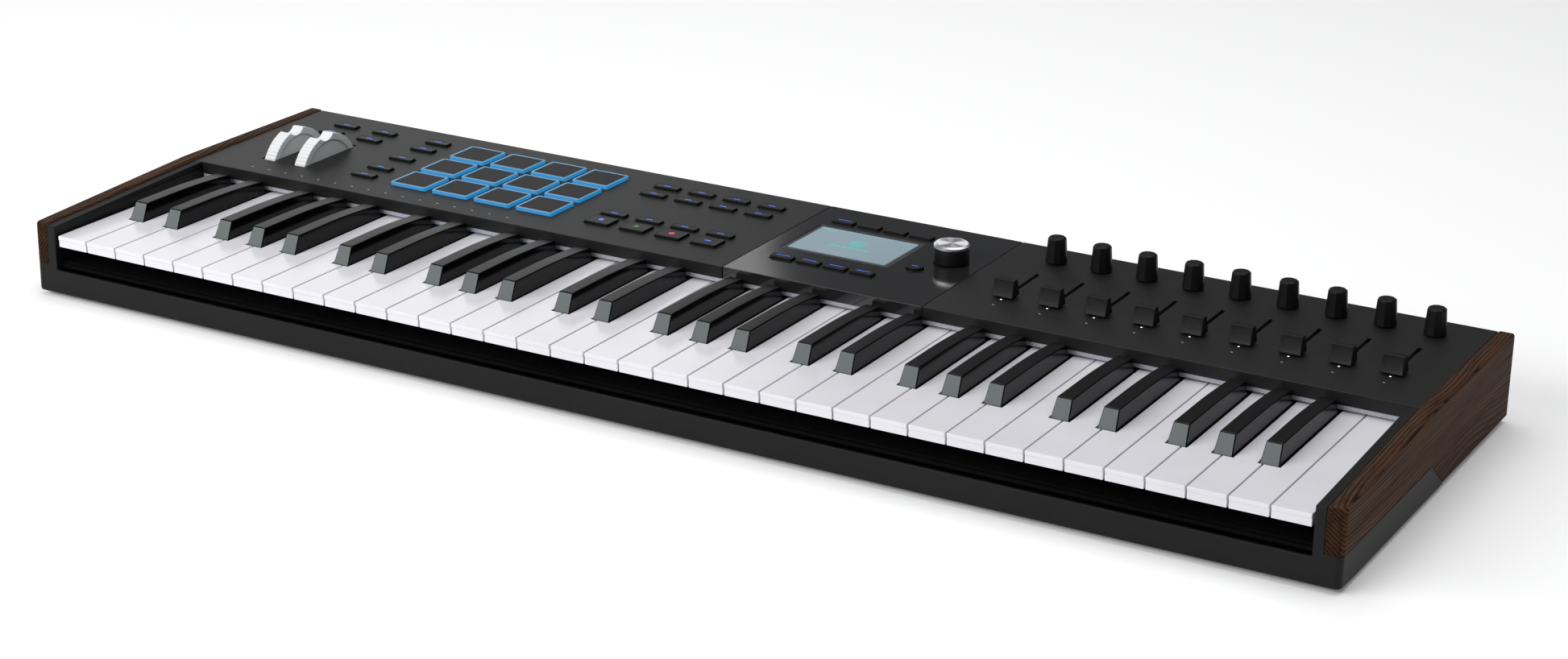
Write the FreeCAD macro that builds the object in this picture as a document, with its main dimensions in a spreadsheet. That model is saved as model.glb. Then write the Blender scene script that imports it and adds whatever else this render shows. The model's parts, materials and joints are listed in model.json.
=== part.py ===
import FreeCAD, Part

import math
import os
import re

import Sketcher

# A controller keyboard with sixty-one keys: a moulded lower case, wooden cheeks, three
# top panels with their controls, and a sprung keybed. Millimetres, +Z up, +Y to the back,
# +X to the treble end. The origin is the centre of the footprint, on the table.

doc = FreeCAD.newDocument("Keyboard")
sheet = doc.addObject("Spreadsheet::Sheet", "Sizes")

# Driving sizes. Those written as a formula follow the ones above them.
SIZES = [
    ("key_pitch", "23.5", "white key to white key"),
    ("white_count", "36", "white keys"),
    ("key_gap", "1", "between two white keys"),
    ("key_wall", "1.6", "wall of a hollow key"),
    ("key_roof", "2", "top of a hollow key"),
    ("key_top", "42", "height of the white keys' top"),
    ("key_thick", "7.4", "height of a white key's front"),
    ("key_visible", "144", "white key in front of the top panel"),
    ("front_inset", "1.8", "case front to the keys' front edge"),
    ("side_gap", "1.3", "key block to rail"),
    ("rail_thick", "6.4", "black rail beside the keys"),
    ("cheek_thick", "10.3", "wooden cheek"),
    ("panel_depth", "140.2", "top panel, front to back"),
    ("panel_front_z", "54", "top panel's front edge"),
    ("panel_rear_z", "55", "top panel's rear edge"),
    ("panel_thick", "2", "top panel"),
    ("fascia_drop", "8", "folded front edge of the panel"),
    ("panel_seam", "0.5", "joint between two panels"),
    ("centre_left", "-15.9", "left joint of the centre panel"),
    ("centre_right", "122.5", "right joint of the centre panel"),
    ("base_gap", "3", "table to the case floor"),
    ("floor_thick", "2", "case floor"),
    ("wall_thick", "2.5", "case walls"),
    ("lip_top", "19", "top of the front wall"),
    ("skirt_top", "22", "top of the side skirt"),
    ("skirt_length", "143", "side skirt along its top"),
    ("skirt_slant", "25", "slanted end of the skirt"),
    ("cheek_bottom", "4", "lowest edge of the cheek"),
    ("cheek_front_top", "49", "cheek's top at the front"),
    ("cheek_rear_top", "55.6", "cheek's top beside the panel"),
    ("cheek_round", "2", "rounded upper edges of the cheek"),
    ("corner_round", "4", "upright front corners of skirt and cheek"),
    ("overlap", "1", "how far joined or cut pieces reach into each other"),
    ("black_width", "11.3", "black key at its foot"),
    ("black_top_width", "9.5", "black key at its top"),
    ("black_rise", "11.5", "black key above the white ones"),
    ("black_start", "50.5", "white keys' front to the black keys"),
    ("black_slope", "6", "slanted front of a black key"),
    ("black_end_gap", "3", "black key's top to the panel"),
    ("black_clear", "0.9", "black key to white key"),
    ("pair_shift", "2.4", "C sharp and D sharp off their joint"),
    ("trio_shift", "3.3", "F sharp and A sharp off their joint"),
    ("pivot_back", "14", "panel's front edge to the key axle"),
    ("pivot_below", "4", "key top to the key axle"),
    ("tail_past", "7", "key behind its axle"),
    ("axle_radius", "1.5", "key axle"),
    ("running_clear", "0.1", "shaft in its bore, all round"),
    ("spring_radius", "1.4", "key return spring"),
    ("spring_back", "4.5", "key axle to the springs"),
    ("bed_low", "20", "underside of the keybed plate"),
    ("bed_thick", "2", "keybed plate"),
    ("bed_inset", "3", "keys' front edge to the keybed plate"),
    ("rib_thick", "2", "rib under the keybed plate"),
    ("bracket_thick", "1.2", "axle bracket at each end of the keybed"),
    ("bracket_long", "10", "axle bracket, front to back"),
    ("felt_high", "2.2", "stop felt"),
    ("felt_long", "10", "stop felt, front to back"),
    ("rear_felt_thick", "3", "felt strip behind the keys"),
    ("board_low", "44", "underside of the panel boards"),
    ("board_thick", "1.6", "circuit board"),
    ("button_long", "18.2", "button"),
    ("button_deep", "6.8", "button"),
    ("menu_long", "15.4", "display button"),
    ("transport_deep", "14", "large transport button"),
    ("button_proud", "1.6", "button above the panel"),
    ("button_under", "5.2", "button below the panel's top"),
    ("button_clear", "0.35", "button in its hole"),
    ("round_radius", "5.6", "round button"),
    ("pad_side", "24.4", "pad"),
    ("pad_gap", "8.75", "between two pads"),
    ("pad_proud", "1.9", "pad above the panel"),
    ("frame_wall", "1.5", "light frame round a pad"),
    ("frame_clear", "0.4", "pad to frame, and frame to panel"),
    ("frame_proud", "1.9", "light frame above the panel"),
    ("frame_flange", "1", "light frame's flange under the panel"),
    ("flange_thick", "1.5", "light frame's flange"),
    ("strip_pitch", "30.45", "fader to fader"),
    ("strip_edge", "23.7", "right rail to the last fader"),
    ("knob_radius", "7", "knob's foot"),
    ("knob_top_radius", "5.8", "knob's top"),
    ("knob_high", "16.2", "knob"),
    ("knob_lift", "0.8", "knob above the panel"),
    ("shaft_radius", "3", "knob shaft"),
    ("fader_travel", "45", "fader"),
    ("fader_rest", "42.5", "panel's front edge to a lowered fader"),
    ("cap_wide", "14", "fader cap"),
    ("cap_deep", "10.5", "fader cap at its foot"),
    ("cap_top_deep", "4.5", "fader cap at its top"),
    ("cap_high", "11", "fader cap"),
    ("stem_wide", "1.2", "fader stem"),
    ("stem_deep", "4", "fader stem"),
    ("slot_wide", "2.4", "fader slot"),
    ("cap_lift", "0.9", "fader cap above the panel"),
    ("fader_body_wide", "9", "slide control"),
    ("fader_body_high", "6", "slide control"),
    ("fader_body_past", "7.5", "slide control beyond its travel, each end"),
    ("encoder_side", "12", "rotary encoder"),
    ("encoder_high", "5.6", "rotary encoder"),
    ("shaft_hole_clear", "0.8", "knob shaft in the panel"),
    ("dial_radius", "11.25", "browse dial"),
    ("dial_high", "11.7", "browse dial"),
    ("dial_lift", "1.1", "browse dial above the panel"),
    ("dial_bore", "8", "browse dial's bore, from its foot"),
    ("wheel_radius", "31", "pitch and modulation wheels"),
    ("wheel_wide", "8.7", "pitch and modulation wheels"),
    ("wheel_low", "15", "panel's front edge down to the wheel axle"),
    ("wheel_back", "56", "panel's front edge to the wheel axle"),
    ("wheel_clear", "1", "wheel in its slot"),
    ("wheel_axle", "2.5", "wheel axle's radius"),
    ("wheel_gap", "1.4", "wheel to the bracket's wall"),
    ("dip_radius", "8.5", "finger dip in a wheel"),
    ("dip_above", "4.2", "finger dip's axis above the wheel's top"),
    ("dip_forward", "2.5", "finger dip's axis in front of the wheel's"),
    ("stand_wall", "2", "wheel bracket's walls"),
    ("stand_foot", "1.5", "wheel bracket's foot"),
    ("display_wide", "75.3", "display"),
    ("display_deep", "52.1", "display"),
    ("foot_radius", "9", "rubber foot"),
    ("screw_radius", "1.5", "case screw"),
    ("screw_head", "1.2", "case screw's head"),
    ("screw_long", "9", "case screw's shank"),
    ("hole_clear", "0.2", "screw or socket in its hole"),
    ("post_radius", "2.5", "post under a board"),
    ("socket_z", "30", "height of the rear sockets"),
    ("din_radius", "8.8", "five-pin socket"),
    ("jack_bore", "3.3", "pedal jack's bore radius"),
    ("jack_deep", "28", "pedal jack's bore"),
    ("jack_long", "32", "pedal jack behind the wall"),
    ("jack_wide", "14", "pedal jack"),
    ("nut_radius", "6", "pedal jack's nut"),
    ("din_long", "14", "five-pin socket's neck"),
    ("usb_wide", "12", "data socket"),
    ("usb_high", "11", "data socket"),
    ("usb_long", "16", "data socket"),
    ("usb_wall", "1.75", "data socket's walls"),
    ("rail_in", "=white_count * key_pitch / 2 + side_gap", "middle to rail"),
    ("cheek_in", "=rail_in + rail_thick", "middle to cheek"),
    ("half_width", "=cheek_in + cheek_thick", "middle to side"),
    ("case_depth", "=front_inset + key_visible + panel_depth", "front to back"),
    ("front_y", "=-case_depth / 2", "case front"),
    ("rear_y", "=case_depth / 2", "case rear"),
    ("key_front", "=front_y + front_inset", "keys' front edge"),
    ("panel_y", "=key_front + key_visible", "panel's front edge"),
    ("pivot_y", "=panel_y + pivot_back", "key axle"),
    ("pivot_z", "=key_top - pivot_below", "key axle"),
    ("floor_top", "=base_gap + floor_thick", "inside of the case floor"),
    ("bed_top", "=bed_low + bed_thick", "top of the keybed plate"),
    ("board_top", "=board_low + board_thick", "top of the panel boards"),
    ("key_low", "=key_top - key_thick", "underside of the keys"),
    ("pad_pitch", "=pad_side + pad_gap", "pad to pad"),
    ("frame_inner", "=pad_side + 2 * frame_clear", "inside of a light frame"),
    ("frame_outer", "=frame_inner + 2 * frame_wall", "outside of a light frame"),
    ("socket_board", "=socket_z - din_radius - board_thick", "underside of the socket board"),
    ("wheel_y", "=panel_y + wheel_back", "wheel axle"),
    ("wheel_z", "=panel_front_z - wheel_low", "wheel axle"),
]
for row, (alias, text, note) in enumerate(SIZES, 1):
    sheet.set(f"A{row}", note)
    sheet.set(f"B{row}", text)
    sheet.setAlias(f"B{row}", alias)
doc.recompute()
ALIASES = {alias for alias, _, _ in SIZES}
NEAR = 0.01   # two places closer than this are the same


def size(alias):
    """The sheet's value for one size."""
    return float(sheet.get(alias))


def tied(expression):
    """An expression with every size's alias pointed at the sheet."""
    def point(match):
        word = match.group(0)
        return f"Sizes.{word}" if word in ALIASES else word
    return re.sub(r"[A-Za-z_][A-Za-z_0-9]*", point, str(expression))


def bind(obj, **expressions):
    """Tie an object's properties to the sheet."""
    for name, expression in expressions.items():
        obj.setExpression(name, tied(expression))
    return obj


def place(obj, x, y, z):
    """Tie an object's place to the sheet."""
    for letter, expression in zip("xyz", (x, y, z)):
        obj.setExpression(f"Placement.Base.{letter}", tied(expression))
    return obj


def box(x, y, z, length, width, height):
    """A block with one corner at x, y, z."""
    made = bind(doc.addObject("Part::Box", "Block"), Length=length, Width=width, Height=height)
    return place(made, x, y, z)


def centred(x, y, z, length, width, height):
    """A block centred on x and y that stands on z."""
    return box(f"({x}) - ({length}) / 2", f"({y}) - ({width}) / 2", z, length, width, height)


def rod(x, y, z, radius, height, axis="z"):
    """A round bar from x, y, z along an axis."""
    made = bind(doc.addObject("Part::Cylinder", "Bar"), Radius=radius, Height=height)
    turn = {"z": FreeCAD.Rotation(),
            "x": FreeCAD.Rotation(FreeCAD.Vector(0, 1, 0), 90),
            "-y": FreeCAD.Rotation(FreeCAD.Vector(1, 0, 0), 90)}[axis]
    made.Placement.Rotation = turn
    return place(made, x, y, z)


def fuse(pieces):
    """One solid from several."""
    made = doc.addObject("Part::MultiFuse", "Joined")
    made.Shapes = pieces
    return made


def group(pieces):
    """Several separate solids in one sub-part."""
    made = doc.addObject("Part::Compound", "Group")
    made.Links = pieces
    return made


def cut(base, tools):
    """A piece with several pieces taken away."""
    made = doc.addObject("Part::Cut", "Cut")
    made.Base = base
    made.Tool = group(tools)
    return made


def origin_plane(body, role):
    """One of a body's own three planes."""
    return next(item for item in body.Origin.OriginFeatures if item.Role == role)


def outline(body, role, corners):
    """A closed sketch whose every corner is tied to the sheet."""
    sketch = body.newObject("Sketcher::SketchObject", "Outline")
    sketch.AttachmentSupport = [(origin_plane(body, role), "")]
    sketch.MapMode = "FlatFace"
    count = len(corners)
    turn = 2 * math.pi / count
    rough = [FreeCAD.Vector(math.cos(i * turn), math.sin(i * turn), 0) * 50 for i in range(count)]
    for i in range(count):
        sketch.addGeometry(Part.LineSegment(rough[i], rough[(i + 1) % count]), False)
    for i in range(count):
        sketch.addConstraint(Sketcher.Constraint("Coincident", i, 2, (i + 1) % count, 1))
    for i, (across, up) in enumerate(corners):
        for kind, expression in (("DistanceX", across), ("DistanceY", up)):
            start = rough[i].x if kind == "DistanceX" else rough[i].y
            index = sketch.addConstraint(Sketcher.Constraint(kind, -1, 1, i, 1, start))
            sketch.setExpression(f"Constraints[{index}]", tied(expression))
    return sketch


def side_body(x, thickness, corners):
    """A body drawn from the side, in Y and Z, and padded along X from x."""
    body = doc.addObject("PartDesign::Body", "Side")
    sketch = outline(body, "YZ_Plane", corners)
    pad = body.newObject("PartDesign::Pad", "Pad")
    pad.Profile = sketch
    bind(pad, Length=thickness)
    return place(body, x, "0", "0")


def round_edges(body, test, radius):
    """A fillet on those edges of a body whose bounding box passes the test."""
    doc.recompute()
    tip = body.Tip
    names = [f"Edge{i}" for i, edge in enumerate(tip.Shape.Edges, 1) if test(edge.BoundBox)]
    fillet = body.newObject("PartDesign::Fillet", "Rounded")
    fillet.Base = (tip, names)
    bind(fillet, Radius=radius)
    return body


def front_corner(side):
    """A test for a side body's upright outer edge at the front: side is -1 or 1."""
    outer = 0 if side < 0 else size("cheek_thick")

    def test(bounds):
        upright = bounds.ZLength > NEAR and bounds.YLength < NEAR and bounds.XLength < NEAR
        return upright and abs(bounds.XMin - outer) < NEAR \
            and abs(bounds.YMin - size("front_y")) < NEAR
    return test


def feature(shape):
    """A sub-part whose shape is worked out from the sheet's sizes."""
    made = doc.addObject("Part::Feature", "Shape")
    made.Shape = shape
    made.Placement = FreeCAD.Placement()
    return made


NODES = {}


def node(name, obj):
    """Name a finished sub-part."""
    obj.Label = name
    NODES[name] = obj
    return obj


# ---- where the controls stand: x from a rail or a panel joint, y from the panel's front edge

def panel_top(back):
    """Height of the panel's top, that far behind its front edge."""
    return f"(panel_front_z + (panel_rear_z - panel_front_z) * ({back}) / panel_depth)"


PERFORMANCE = [(33.3, 117), (33.3, 99.3), (66, 117), (66, 99)]
PERFORMANCE += [(111.4, back) for back in (117, 99.5, 75.2, 51, 32.8)]
STUDIO_COLUMNS = [f"centre_left - 110.3 + {26.5 * i}" for i in range(4)]
STUDIO_ROWS = (115.7, 98.2, 50.3)
TRANSPORT_ROW = 34.3
MENU_COLUMNS = [f"centre_left + 23.8 + {18.75 * i}" for i in range(4)]
MENU_ROWS = (114, 33.8)
ROUND_BUTTON = ("centre_left + 102.7", 60.1)
DIAL = ("centre_left + 116.9", 81.5)
DISPLAY = ("centre_left + 49.9", 77.9)
PAD_COLUMNS = [f"-rail_in + 151.3 + {i} * pad_pitch" for i in range(4)]
PAD_ROWS = [f"40.3 + {i} * (pad_pitch + 0.2)" for i in range(3)]
STRIPS = [f"rail_in - strip_edge - {8 - i} * strip_pitch" for i in range(9)]
KNOB_ROW = 115.2
WHEELS = {"pitch_wheel": "-rail_in + 34.8", "mod_wheel": "-rail_in + 60.1"}
JACKS = [f"{25 * i}" for i in range(4)]
DIN_SOCKETS = ["-100", "-72"]
USB_X = "-145"
RIBS = (20, 70, 140)   # behind the keys' front edge
DIN_PINS = range(0, 181, 45)   # degrees round the socket
FEET = [(sx, sy) for sx in (-1, 1) for sy in (-1, 1)]
SCREWS = [(sx * part, sy) for sx in (-1, 1) for part in (0.2, 0.6, 0.95) for sy in (-1, 1)]

BUTTON_SETS = {
    "performance_buttons": [(f"-rail_in + {x}", back, "button_long", "button_deep")
                            for x, back in PERFORMANCE],
    "studio_buttons": [(x, back, "button_long", "button_deep")
                       for x in STUDIO_COLUMNS for back in STUDIO_ROWS]
    + [(x, TRANSPORT_ROW, "button_long", "transport_deep") for x in STUDIO_COLUMNS],
    "menu_buttons": [(x, back, "menu_long", "button_deep")
                     for x in MENU_COLUMNS for back in MENU_ROWS],
}


# ---- case

def screw_place(side, end):
    """A case screw under the floor."""
    return f"{side} * (rail_in - 10)", f"{end} * (rear_y - 14)"


def lower_case():
    """The moulded tray: floor, walls, rails beside the keys, and skirts under the cheeks."""
    rail = [("front_y", "base_gap"), ("rear_y", "base_gap"),
            ("rear_y", "panel_rear_z - panel_thick"),
            ("panel_y + panel_thick", "panel_front_z - panel_thick"),
            ("panel_y", "panel_front_z - panel_thick"),
            ("panel_y", "panel_front_z"), ("front_y", "cheek_front_top - 1")]
    skirt = [("front_y", "base_gap"), ("front_y + skirt_length + skirt_slant", "base_gap"),
             ("front_y + skirt_length", "skirt_top"), ("front_y", "skirt_top")]
    pieces = [
        box("-cheek_in", "front_y", "base_gap", "2 * cheek_in", "case_depth", "floor_thick"),
        box("-cheek_in", "front_y", "base_gap", "2 * cheek_in", "wall_thick",
            "lip_top - base_gap"),
        box("-rail_in - overlap", "rear_y - wall_thick", "base_gap", "2 * (rail_in + overlap)",
            "wall_thick", "panel_rear_z - panel_thick - base_gap - running_clear"),
        side_body("rail_in", "rail_thick", rail),
        side_body("-cheek_in", "rail_thick", rail),
        round_edges(side_body("cheek_in", "cheek_thick", skirt), front_corner(1), "corner_round"),
        round_edges(side_body("-half_width", "cheek_thick", skirt), front_corner(-1),
                    "corner_round"),
    ]
    outside = "rear_y + overlap"
    through = "wall_thick + 2 * overlap"
    holes = [rod(x, outside, "socket_z", "nut_radius + hole_clear", through, "-y") for x in JACKS]
    holes += [rod(x, outside, "socket_z", "din_radius + hole_clear", through, "-y")
              for x in DIN_SOCKETS]
    holes.append(box(f"{USB_X} - usb_wide / 2 - hole_clear", "rear_y - wall_thick - overlap",
                     "socket_z - usb_high / 2 - hole_clear", "usb_wide + 2 * hole_clear",
                     through, "usb_high + 2 * hole_clear"))
    for side, end in SCREWS:
        x, y = screw_place(side, end)
        holes.append(rod(x, y, "base_gap - overlap", "screw_radius + hole_clear",
                         "floor_thick + 2 * overlap"))
    return cut(fuse(pieces), holes)


def cheek(x, side):
    """A wooden cheek, notched over the skirt, with a rounded front corner and upper edges."""
    corners = [("front_y", "skirt_top"), ("front_y + skirt_length", "skirt_top"),
               ("front_y + skirt_length + skirt_slant * (skirt_top - cheek_bottom)"
                " / (skirt_top - base_gap)", "cheek_bottom"),
               ("rear_y", "cheek_bottom"), ("rear_y", "cheek_rear_top"),
               ("panel_y", "cheek_rear_top"), ("front_y", "cheek_front_top")]
    body = round_edges(side_body(x, "cheek_thick", corners), front_corner(side), "corner_round")

    def upper(bounds):
        """An edge that runs back along the top."""
        return bounds.XLength < NEAR and bounds.ZMin > size("cheek_front_top") - NEAR \
            and bounds.YLength > 2 * size("corner_round")
    return round_edges(body, upper, "cheek_round")


def panel(x, width, holes):
    """A folded top panel: a plate with a turned-down front edge, and its holes."""
    corners = [("panel_y", "panel_front_z"), ("rear_y", "panel_rear_z"),
               ("rear_y", "panel_rear_z - panel_thick"),
               ("panel_y + panel_thick", "panel_front_z - panel_thick"),
               ("panel_y + panel_thick", "panel_front_z - fascia_drop"),
               ("panel_y", "panel_front_z - fascia_drop")]
    return cut(side_body(x, width, corners), holes)


PANEL_THROUGH = "panel_thick + panel_rear_z - panel_front_z + 2 * overlap"


def hole_for(x, back, length, width, clear):
    """A square hole through the panel."""
    return centred(x, f"panel_y + {back}", "panel_front_z - panel_thick - overlap",
                   f"{length} + 2 * ({clear})", f"{width} + 2 * ({clear})", PANEL_THROUGH)


def round_hole(x, back, radius):
    """A round hole through the panel."""
    return rod(x, f"panel_y + {back}", "panel_front_z - panel_thick - overlap", radius,
               PANEL_THROUGH)


def button_holes(name):
    """Holes for one set of buttons."""
    return [hole_for(x, back, length, width, "button_clear")
            for x, back, length, width in BUTTON_SETS[name]]


def rail_notch(x):
    """Room for the rail's end under a side panel."""
    return box(x, "panel_y - overlap", "panel_front_z - panel_thick - 2 * fascia_drop",
               "rail_thick + overlap", "panel_thick + 2 * overlap", "2 * fascia_drop")


def panel_left():
    """Left panel: wheels, pads, performance and studio buttons."""
    holes = button_holes("performance_buttons") + button_holes("studio_buttons")
    for x in WHEELS.values():
        chord = "2 * sqrt(wheel_radius^2 - (wheel_low - panel_thick)^2)"
        holes.append(hole_for(x, "wheel_back", "wheel_wide", chord, "wheel_clear"))
    for x in PAD_COLUMNS:
        for back in PAD_ROWS:
            holes.append(hole_for(x, back, "pad_side", "pad_side", "frame_wall + 2 * frame_clear"))
    holes.append(rail_notch("-cheek_in - overlap"))
    return panel("-cheek_in", "cheek_in + centre_left", holes)


def panel_centre():
    """Glossy centre panel: display, menu buttons and the browse dial."""
    holes = button_holes("menu_buttons")
    holes.append(hole_for(DISPLAY[0], DISPLAY[1], "display_wide", "display_deep", "0"))
    holes.append(round_hole(*ROUND_BUTTON, "round_radius + button_clear"))
    holes.append(round_hole(*DIAL, "shaft_radius + shaft_hole_clear"))
    return panel("centre_left + panel_seam", "centre_right - centre_left - 2 * panel_seam", holes)


def panel_right():
    """Right panel: knobs and faders."""
    holes = [rail_notch("rail_in")]
    for x in STRIPS:
        holes.append(round_hole(x, KNOB_ROW, "shaft_radius + shaft_hole_clear"))
        holes.append(hole_for(x, "(fader_rest + fader_travel / 2)", "slot_wide",
                              "fader_travel + stem_deep + 2", "0"))
    return panel("centre_right", "cheek_in - centre_right", holes)


# ---- keybed

def keybed_chassis():
    """Steel plate on ribs, with two end brackets and the axle that every key turns on."""
    end = "(white_count * key_pitch - key_gap) / 2 + 0.4"
    left, long = "-rail_in + hole_clear", "2 * (rail_in - hole_clear)"
    depth = "pivot_y + tail_past + 2 - key_front - bed_inset"
    plate = [box(left, "key_front + bed_inset", "bed_low", long, depth, "bed_thick")]
    for back in RIBS:
        plate.append(box(left, f"key_front + {back}", "floor_top", long, "rib_thick",
                         "bed_low - floor_top"))
    for x in (end, f"-({end}) - bracket_thick"):
        plate.append(box(x, "pivot_y - bracket_long / 2", "bed_low", "bracket_thick",
                         "bracket_long", "pivot_z + 2 * axle_radius - bed_low"))
    axle = rod(left, "pivot_y", "pivot_z", "axle_radius", long, "x")
    return fuse(plate + [axle])


def key_felts():
    """The grey felt strip behind the keys, and the strip that stops them."""
    return group([
        box("-rail_in + hole_clear", "panel_y + 0.6", "key_top + overlap",
            "2 * (rail_in - hole_clear)", "rear_felt_thick",
            "panel_front_z - fascia_drop - key_top - overlap"),
        box("-rail_in + overlap", "key_front + bed_inset + overlap", "bed_top",
            "2 * (rail_in - overlap)", "felt_long", "felt_high"),
    ])


HOLLOW_END = 20   # a white key is solid from here to its axle
BLOCK_SINK = 0.6   # a black key's block reaches this far into its tail
SHARP_SHIFT = {0: -1, 1: 1, 3: -2, 4: 0, 5: 2}   # after C, D, F, G and A
NAMES = ["c", "d", "e", "f", "g", "a", "b"]


def sharp_offset(step):
    """How far a black key stands off the joint to its left white key's right."""
    kind = SHARP_SHIFT[step]
    if abs(kind) == 1:
        return kind * size("pair_shift")
    return kind / 2 * size("trio_shift")


def joint_x(index):
    """Middle of the joint on the left of a white key."""
    return (index - size("white_count") / 2) * size("key_pitch")


def bore_for_axle(x_low, x_high):
    """The cutter for a key's axle bore."""
    radius = size("axle_radius") + size("running_clear")
    start = FreeCAD.Vector(x_low - 1, size("pivot_y"), size("pivot_z"))
    return Part.makeCylinder(radius, x_high - x_low + 2, start, FreeCAD.Vector(1, 0, 0))


def white_key(index):
    """One white key, notched beside its black neighbours and hollow below."""
    step = index % 7
    low = joint_x(index) + size("key_gap") / 2
    high = joint_x(index + 1) - size("key_gap") / 2
    reach = size("black_width") / 2 + size("black_clear")
    left, right = low, high
    if step - 1 in SHARP_SHIFT and index > 0:
        left = joint_x(index) + sharp_offset(step - 1) + reach
    if step in SHARP_SHIFT and index < size("white_count") - 1:
        right = joint_x(index + 1) + sharp_offset(step) - reach
    front = size("key_front")
    neck = front + size("black_start") - size("black_clear")
    back = size("pivot_y") + size("tail_past")
    base = size("key_low")
    points = [(low, front), (high, front), (high, neck), (right, neck), (right, back),
              (left, back), (left, neck), (low, neck)]
    corners = [FreeCAD.Vector(x, y, base) for x, y in points]
    corners = [p for i, p in enumerate(corners) if p != corners[i - 1]]
    face = Part.Face(Part.makePolygon(corners + corners[:1]))
    key = face.extrude(FreeCAD.Vector(0, 0, size("key_thick")))
    wall = size("key_wall")
    room = size("key_thick") - size("key_roof")
    head = Part.makeBox(high - low - 2 * wall, neck - front - 2 * wall, room,
                        FreeCAD.Vector(low + wall, front + wall, base))
    tail_end = size("pivot_y") - HOLLOW_END
    tail = Part.makeBox(right - left - 2 * wall, tail_end - neck - wall, room,
                        FreeCAD.Vector(left + wall, neck + wall, base))
    return key.cut([head, tail, bore_for_axle(low, high)]).removeSplitter()


def black_key(index):
    """The black key after a white one: a slanted block on a plain tail."""
    centre = joint_x(index + 1) + sharp_offset(index % 7)
    half, top_half = size("black_width") / 2, size("black_top_width") / 2
    front = size("key_front") + size("black_start")
    end = size("panel_y") - size("black_end_gap")
    back = size("pivot_y") + size("tail_past")
    long = end - front
    block = Part.makeWedge(-half, 0, -long, -long + BLOCK_SINK, -top_half, half,
                           size("black_rise"), 0, -size("black_slope"), top_half)
    block.rotate(FreeCAD.Vector(), FreeCAD.Vector(1, 0, 0), 90)
    block.translate(FreeCAD.Vector(centre, front, size("key_top") - BLOCK_SINK))
    tail = Part.makeBox(2 * half, back - front, size("key_thick") - BLOCK_SINK,
                        FreeCAD.Vector(centre - half, front, size("key_low")))
    key = tail.fuse(block).cut(bore_for_axle(centre - half, centre + half))
    return key.removeSplitter()


PLAYED_OCTAVE = 2   # the octave whose twelve keys are each a sub-part


def make_keys():
    """Twelve single keys in the middle, and the rest joined as white and as black keys."""
    white, black = [], []
    for index in range(int(size("white_count"))):
        octave, step = divmod(index, 7)
        single = octave == PLAYED_OCTAVE
        shape = white_key(index)
        if single:
            node(f"key_{NAMES[step]}", feature(shape))
        else:
            white.append(shape)
        if step in SHARP_SHIFT and index < size("white_count") - 1:
            shape = black_key(index)
            if single:
                node(f"key_{NAMES[step]}_sharp", feature(shape))
            else:
                black.append(shape)
    node("white_keys", feature(Part.makeCompound(white)))
    node("black_keys", feature(Part.makeCompound(black)))


def key_springs():
    """A return spring under each key's tail, drawn as its envelope."""
    springs = []
    radius = size("spring_radius")
    high = size("key_low") - size("bed_top") - 0.5
    for index in range(int(size("white_count"))):
        spots = [joint_x(index) + size("key_pitch") / 2]
        if index % 7 in SHARP_SHIFT and index < size("white_count") - 1:
            spots.append(joint_x(index + 1) + sharp_offset(index % 7))
        for x in spots:
            start = FreeCAD.Vector(x, size("pivot_y") + size("spring_back"), size("bed_top"))
            springs.append(Part.makeCylinder(radius, high, start))
    return feature(Part.makeCompound(springs))


# ---- controls

def buttons(name):
    """One set of button caps."""
    caps = []
    for x, back, length, width in BUTTON_SETS[name]:
        caps.append(centred(x, f"panel_y + {back}", f"{panel_top(back)} - button_under",
                            length, width, "button_under + button_proud"))
    if name == "menu_buttons":
        x, back = ROUND_BUTTON
        caps.append(rod(x, f"panel_y + {back}", f"{panel_top(back)} - button_under",
                        "round_radius", "button_under + button_proud"))
    return group(caps)


def pads():
    """Twelve rubber pads."""
    return group([centred(x, f"panel_y + {back}", "board_top + 2", "pad_side", "pad_side",
                          f"{panel_top(back)} + pad_proud - board_top - 2")
                  for x in PAD_COLUMNS for back in PAD_ROWS])


def pad_light_frames():
    """A clear frame round each pad, with a flange under the panel."""
    frames = []
    low = "panel_front_z - panel_thick - flange_thick - running_clear"
    wide = "frame_outer + 2 * frame_flange"
    for x in PAD_COLUMNS:
        for back in PAD_ROWS:
            y = f"panel_y + {back}"
            flange = centred(x, y, low, wide, wide, "flange_thick")
            rim = centred(x, y, low, "frame_outer", "frame_outer",
                          f"{panel_top(back)} + frame_proud - ({low})")
            space = centred(x, y, f"{low} - overlap", "frame_inner", "frame_inner", "pad_side")
            frames.append(cut(fuse([flange, rim]), [space]))
    return group(frames)


def knob(x):
    """A tapered knob on its shaft."""
    base = f"{panel_top(KNOB_ROW)} + knob_lift"
    y = f"panel_y + {KNOB_ROW}"
    cap = bind(doc.addObject("Part::Cone", "Cap"), Radius1="knob_radius",
               Radius2="knob_top_radius", Height="knob_high")
    place(cap, x, y, base)
    shaft = rod(x, y, "board_top + overlap", "shaft_radius", f"{base} - board_top")
    return fuse([cap, shaft])


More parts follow.
